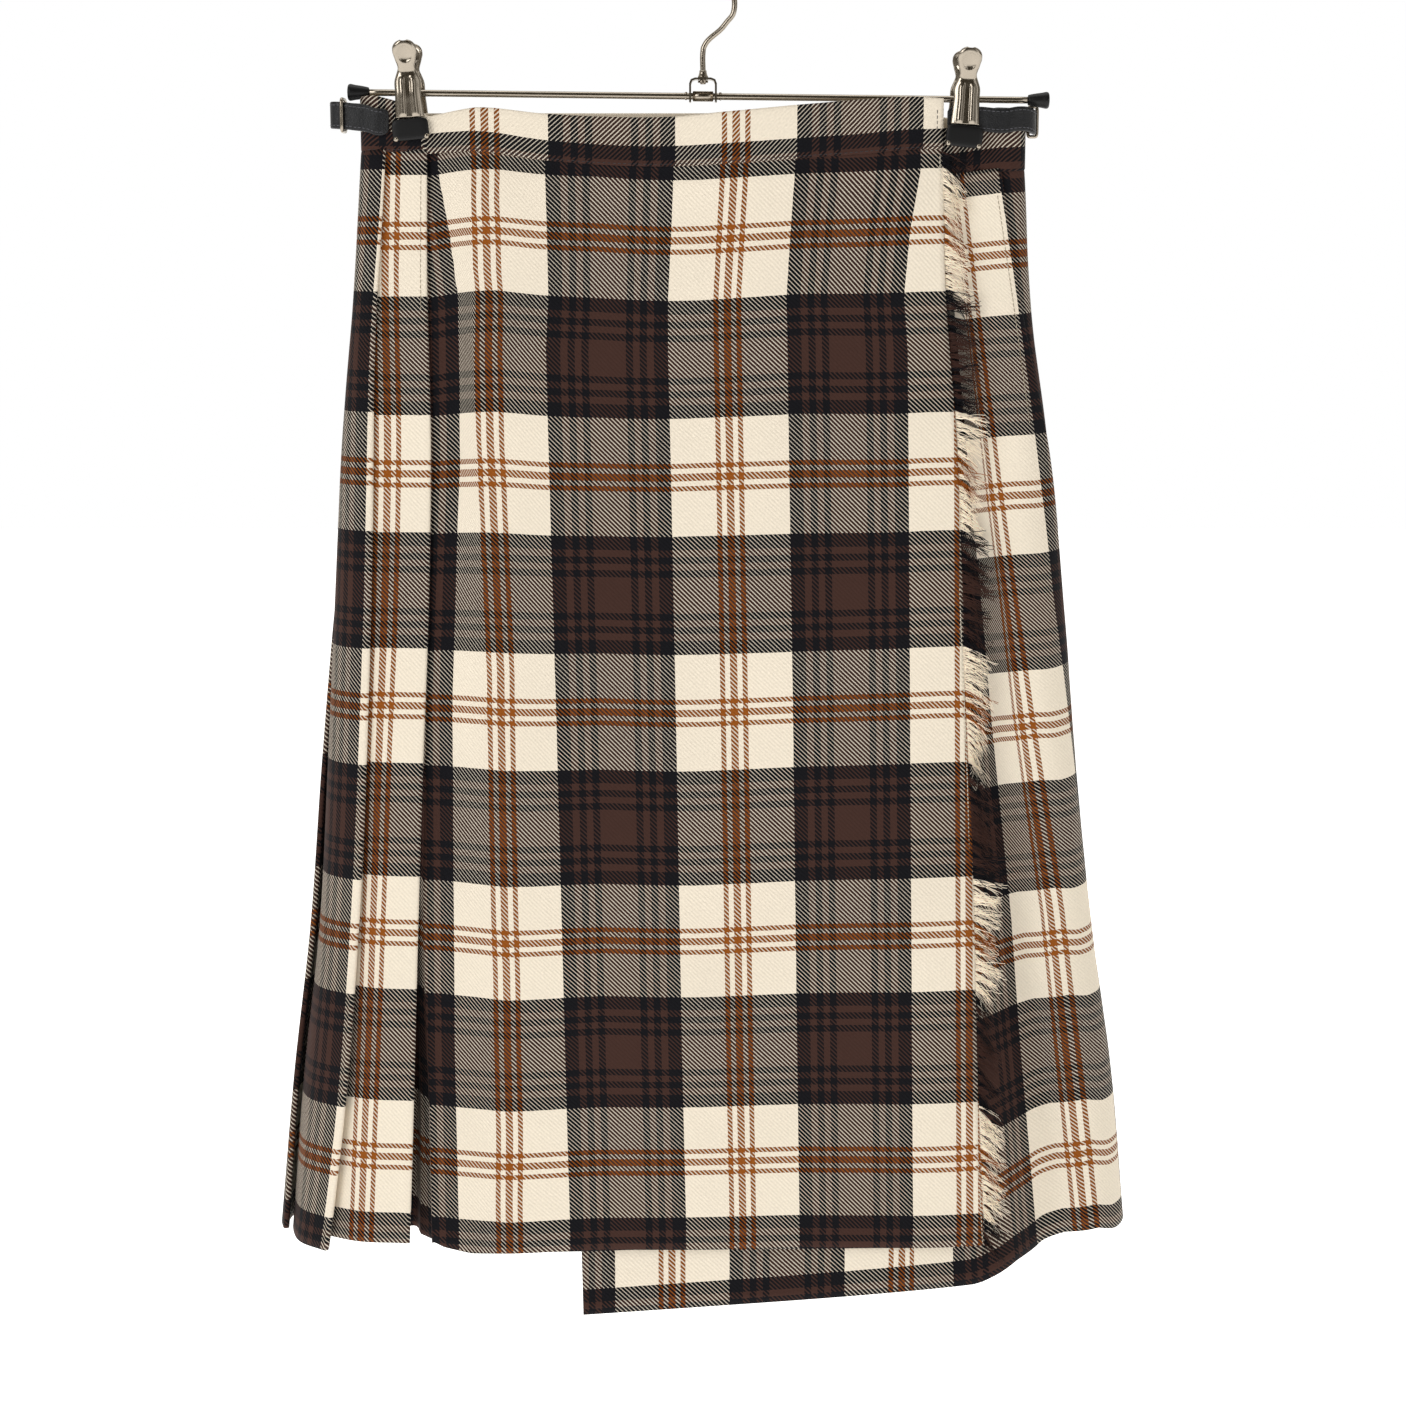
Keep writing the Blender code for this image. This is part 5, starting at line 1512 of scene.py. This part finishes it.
def hook_route(top):
    """Points along the hook's wire: straight shank, slant to the right, crown, open on the left."""
    centre = Vector((0, 0, -HOOK_RADIUS + WIRE_RADIUS))
    knee = Vector((0, 0, -0.0355))
    slant = Vector((0.0111, 0, -0.0247))
    points = [Vector((0, 0, top - 2.6 * MM)), Vector((0, 0, top + 3 * MM))]
    points += [knee - Vector((0, 0, 2.5 * MM))]
    points += [knee + Vector((0.2 * MM, 0, -0.9 * MM)), knee + Vector((1.0 * MM, 0, 0.9 * MM))]
    points += [slant - Vector((1.2 * MM, 0, 1.3 * MM)), slant + Vector((0.9 * MM, 0, 1.3 * MM))]
    for angle in np.linspace(HOOK_START, HOOK_END, 19):
        points.append(centre + HOOK_RADIUS * Vector((math.cos(angle), 0, math.sin(angle))))
    return even_line(points, 170)


class SKIRT_OT_hook(bpy.types.Operator):
    """Make the hook and its collar, and finish the bracket"""
    bl_idname = "skirt.hook"
    bl_label = "Hook and bracket"

    def execute(self, context):
        top = bar_point(0).z + 8.6 * MM
        route = hook_route(top)
        size = np.full(len(route), WIRE_RADIUS)
        size[-4:] = WIRE_RADIUS * np.array([0.98, 0.9, 0.72, 0.4])
        put(tube("hook_wire", route, (0, 1, 0), size, "steel", 20), "hanger_steel", "hook")
        inner = WIRE_RADIUS + 0.1 * MM
        seat = top + 0.5 * MM + GAP
        collar = [(inner, 0), (2.6 * MM, 0), (2.6 * MM, 0.5 * MM), (2.3 * MM, 0.9 * MM),
                  (1.9 * MM, 2.2 * MM), (inner + 0.3 * MM, 3.4 * MM), (inner, 3.4 * MM)]
        put(turned("hook_collar_rivet", collar, Matrix.Translation((0, 0, seat)), "steel"),
            "hanger_steel", "hook_collar")
        for name in ("bracket", "hook_washer"):
            node = NODES[name]
            node.data.materials.clear()
            node.data.materials.append(finish("steel"))
        return {"FINISHED"}


def clip_frame(side):
    """A clip's own axes: its middle at the bar, leaning with its hang."""
    place = Matrix.Translation(bar_point(CLIPS[side]))
    return place @ Matrix.Rotation(CLIP_LEAN[side], 4, "Y")


def plate_surface(side, way, foot_out):
    """A pressed clip plate on a grid down and across it, before its lean.

    Half width and way out are smooth curves down the plate. Two long ribs are raised on its
    body, the tab has a round dimple, and its edges are turned in.
    """
    above = CLIP_TOP[side] - bar_point(CLIPS[side]).z
    down_knots = np.array(PLATE["down"])
    outs = np.array(PLATE["out"])
    outs = np.concatenate((outs, ((outs[-1] + foot_out / MM) / 2, foot_out / MM)))
    down = np.concatenate((np.linspace(0, 4, 12), np.linspace(4, 37.4, 58)[1:]))
    half = eased(down, down_knots, PLATE["half"])
    tip = down < 4
    half[tip] = 5.7 * np.sqrt(np.maximum(1 - ((4 - down[tip]) / 4.25) ** 2, 0.03))
    out = eased(down, down_knots, outs)
    across = np.linspace(-1, 1, 31)
    d, a = np.meshgrid(down, across, indexing="ij")
    body = smooth(16.5, 19, d) * (1 - smooth(35.5, 37.4, d))
    rib = 0.95 * body * (np.exp(-((a - 0.46) / 0.17) ** 4) + np.exp(-((a + 0.46) / 0.17) ** 4))
    waist = 0.5 * np.exp(-((d - 14.5) / 1.6) ** 2)
    wide = half[:, None] * a
    dimple = -1.5 * np.clip(1 - ((d - 6.2) / 4.4) ** 2 - (wide / 4.2) ** 2, 0, 1) ** 0.75
    curl = 1.1 * np.abs(a) ** 5
    y = way * (out[:, None] + rib + dimple - waist - curl)
    return np.stack((wide * MM, y * MM, above - d * MM), -1)


def rounded_block(name, size, matrix, look, power=5.0, rows=26, columns=52):
    """A block whose edges round off: a superellipsoid, worked out on latitude and longitude."""
    lat = np.linspace(-math.pi / 2, math.pi / 2, rows)[1:-1, None]

    def bent(value):
        return np.sign(value) * np.abs(value) ** (2 / power)

    cosine, sine = turns(columns)
    level = bent(np.cos(lat))
    shape = np.broadcast_arrays(level * bent(cosine), level * bent(sine), bent(np.sin(lat)))
    points = place_points(np.stack(shape, -1) * np.array(size) / 2, matrix)
    return make_piece(name, points, tube_faces(len(lat), columns, flipped=True), look)


def build_clip(side):
    """Two plates on the bar with a foot each, balls at the jaws' corners, and an arched spring."""
    lean = clip_frame(side)
    above = CLIP_TOP[side] - bar_point(CLIPS[side]).z
    corners = []
    for face, way in (("front", -1), ("rear", 1)):
        name = "clip_%s_%s" % (side, face)
        foot_out = JAW[name] * MM + FOOT[1] / 2
        points = place_points(plate_surface(side, way, foot_out), lean)
        plate = make_piece(name + "_plate", points, grid_faces(*points.shape[:2]), "steel")
        thicken(plate, PLATE_WALL)
        put(plate, "hanger_steel", name)
        low = above - PLATE["down"][-1] * MM - GAP - FOOT[2] / 2 - 0.1 * MM
        matrix = lean @ Matrix.Translation((0, way * foot_out, low)) @ Matrix.Rotation(
            CLIP_LEAN[side], 4, "Y")
        put(rounded_block(name + "_foot_vinyl", FOOT, matrix, "rubber"), "rubber", name + "_foot")
        for x in (-1, 1):
            corners.append(matrix @ Vector((x * (FOOT[0] / 2 - 1.5 * MM), way * 0.7 * MM,
                                            -FOOT[2] / 2 + 1.2 * MM)))
    put(ball("clip_%s_jaw_corners" % side, corners, 1.5 * MM, "steel"), "hanger_steel")
    arch = np.linspace(0, math.pi, 40)
    deep = SPRING_REACH * np.concatenate(([-1], -np.cos(arch), [1]))
    up = np.concatenate(([-SPRING_LEG], SPRING_CROWN * np.sin(arch).clip(0) ** 0.5, [-SPRING_LEG]))
    across = np.linspace(-SPRING_HALF, SPRING_HALF, 9)[:, None]
    points = np.stack(np.broadcast_arrays(across, deep, up), -1)
    spring = make_piece("clip_%s_spring_strip" % side, place_points(points, lean),
                        grid_faces(*points.shape[:2]), "steel")
    thicken(spring, SPRING_WALL)
    put(spring, "hanger_steel", "clip_%s_spring" % side)


class SKIRT_OT_clips(bpy.types.Operator):
    """Make the two clips: plates, feet, jaw corners and springs"""
    bl_idname = "skirt.clips"
    bl_label = "Clips"

    def execute(self, context):
        for side in CLIPS:
            build_clip(side)
        return {"FINISHED"}


# Stage

def area_light(name, place, aim, size, power):
    """A white rectangular light at a place, aimed at a point."""
    light = bpy.data.lights.new(name, "AREA")
    light.shape = "RECTANGLE"
    light.size, light.size_y = size
    light.energy = power
    obj = bpy.data.objects.new(name, light)
    obj.location = place
    obj.rotation_euler = (Vector(aim) - Vector(place)).to_track_quat("-Z", "Y").to_euler()
    bpy.context.scene.collection.objects.link(obj)
    return obj


def daylight_room():
    """White to the eye; to the surfaces, a dim olive room in front and a pale one behind."""
    world = bpy.data.worlds.new("daylight_room")
    world.use_nodes = True
    tree = world.node_tree
    room = tree.nodes["Background"]
    _, forward, _ = add_node(
        tree, "SeparateXYZ", {0: add_node(tree, "TexCoord", {}).outputs["Generated"]}).outputs
    share = add_node(tree, "Math", {0: forward, 1: 0.5, 2: 0.5}, operation="MULTIPLY_ADD")
    ramp = add_node(tree, "ValToRGB", {0: share})
    near, far = ramp.color_ramp.elements
    near.position, near.color = 0.15, hex_colour("#4A4336")
    far.position, far.color = 0.8, hex_colour("#E8E6E0")
    feed(tree, room, {"Color": ramp})
    white = add_node(tree, "Background", {"Color": (1, 1, 1, 1), "Strength": 1.0})
    seen = add_node(tree, "LightPath", {}).outputs["Is Camera Ray"]
    mix = add_node(tree, "MixShader", {0: seen, 1: room, 2: white})
    feed(tree, tree.nodes["World Output"], {"Surface": mix})
    return world


class SKIRT_OT_stage(bpy.types.Operator):
    """Set up the white paper floor, the lights and the camera"""
    bl_idname = "skirt.stage"
    bl_label = "Stage"

    def execute(self, context):
        settings = context.scene.skirt_stage
        across = np.linspace(-FLOOR_HALF, FLOOR_HALF, 5)
        points = np.stack(np.broadcast_arrays(across[:, None], across[None, :], FLOOR_Z), -1)
        make_piece("paper_floor", points, grid_faces(*points.shape[:2])[:, ::-1], "paper")
        area_light("key_light", (-1.5, -1.7, 0.75), (0, 0, -0.35), (1.1, 1.3), settings.key)
        area_light("fill_light", (1.4, -1.6, 0.1), (0, 0, -0.4), (0.9, 1.4), settings.fill)
        area_light("top_light", (0.0, 0.2, 1.9), (0, 0.1, -0.4), (1.6, 1.0), settings.top)
        context.scene.world = daylight_room()
        context.scene.view_settings.view_transform = "Standard"
        camera = bpy.data.cameras.new("camera")
        camera.lens = 70.0
        camera.sensor_width = 36.0
        camera.clip_start = 0.05
        camera.clip_end = 20.0
        view = bpy.data.objects.new("camera", camera)
        view.location = CAMERA_PLACE
        view.rotation_euler = (CAMERA_TILT, 0.0, 0.0)
        context.scene.collection.objects.link(view)
        context.scene.camera = view
        return {"FINISHED"}


class SKIRT_PT_panel(bpy.types.Panel):
    """Buttons and settings for the skirt"""
    bl_label = "Pleated skirt"
    bl_idname = "SKIRT_PT_panel"
    bl_space_type = "VIEW_3D"
    bl_region_type = "UI"
    bl_category = "Skirt"

    def draw(self, context):
        scene = context.scene
        for group, names in (
                (scene.skirt_tartan, ("cream", "black", "brown", "rust", "crease")),
                (scene.skirt_sewing, ("yarns", "fringe_length", "stitch", "thread")),
                (scene.skirt_hanger, ("steel", "rubber", "leather")),
                (scene.skirt_stage, ("paper", "key", "fill", "top"))):
            for name in names:
                self.layout.prop(group, name)
        for operator in OPERATORS:
            self.layout.operator(operator.bl_idname)


GROUPS = (
    ("skirt_tartan", TartanSettings), ("skirt_sewing", SewingSettings),
    ("skirt_hanger", HangerSettings), ("skirt_stage", StageSettings),
)
OPERATORS = (
    SKIRT_OT_stage, SKIRT_OT_outer_apron, SKIRT_OT_pleats, SKIRT_OT_inner_apron,
    SKIRT_OT_waistband, SKIRT_OT_fringe, SKIRT_OT_stitching, SKIRT_OT_straps, SKIRT_OT_bar,
    SKIRT_OT_hook, SKIRT_OT_clips,
)


def register():
    for name, group in GROUPS:
        bpy.utils.register_class(group)
        setattr(bpy.types.Scene, name, bpy.props.PointerProperty(type=group))
    for item in (*OPERATORS, SKIRT_PT_panel):
        bpy.utils.register_class(item)


def unregister():
    for item in (SKIRT_PT_panel, *reversed(OPERATORS)):
        bpy.utils.unregister_class(item)
    for name, group in reversed(GROUPS):
        delattr(bpy.types.Scene, name)
        bpy.utils.unregister_class(group)


def main():
    register()
    # The stage first, then the cloth from the front round, then what is sewn and clipped to it
    bpy.ops.skirt.stage()
    bpy.ops.skirt.outer_apron()
    bpy.ops.skirt.pleats()
    bpy.ops.skirt.inner_apron()
    bpy.ops.skirt.waistband()
    bpy.ops.skirt.fringe()
    bpy.ops.skirt.stitching()
    bpy.ops.skirt.straps()
    bpy.ops.skirt.bar()
    bpy.ops.skirt.hook()
    bpy.ops.skirt.clips()


if __name__ == "__main__":
    main()
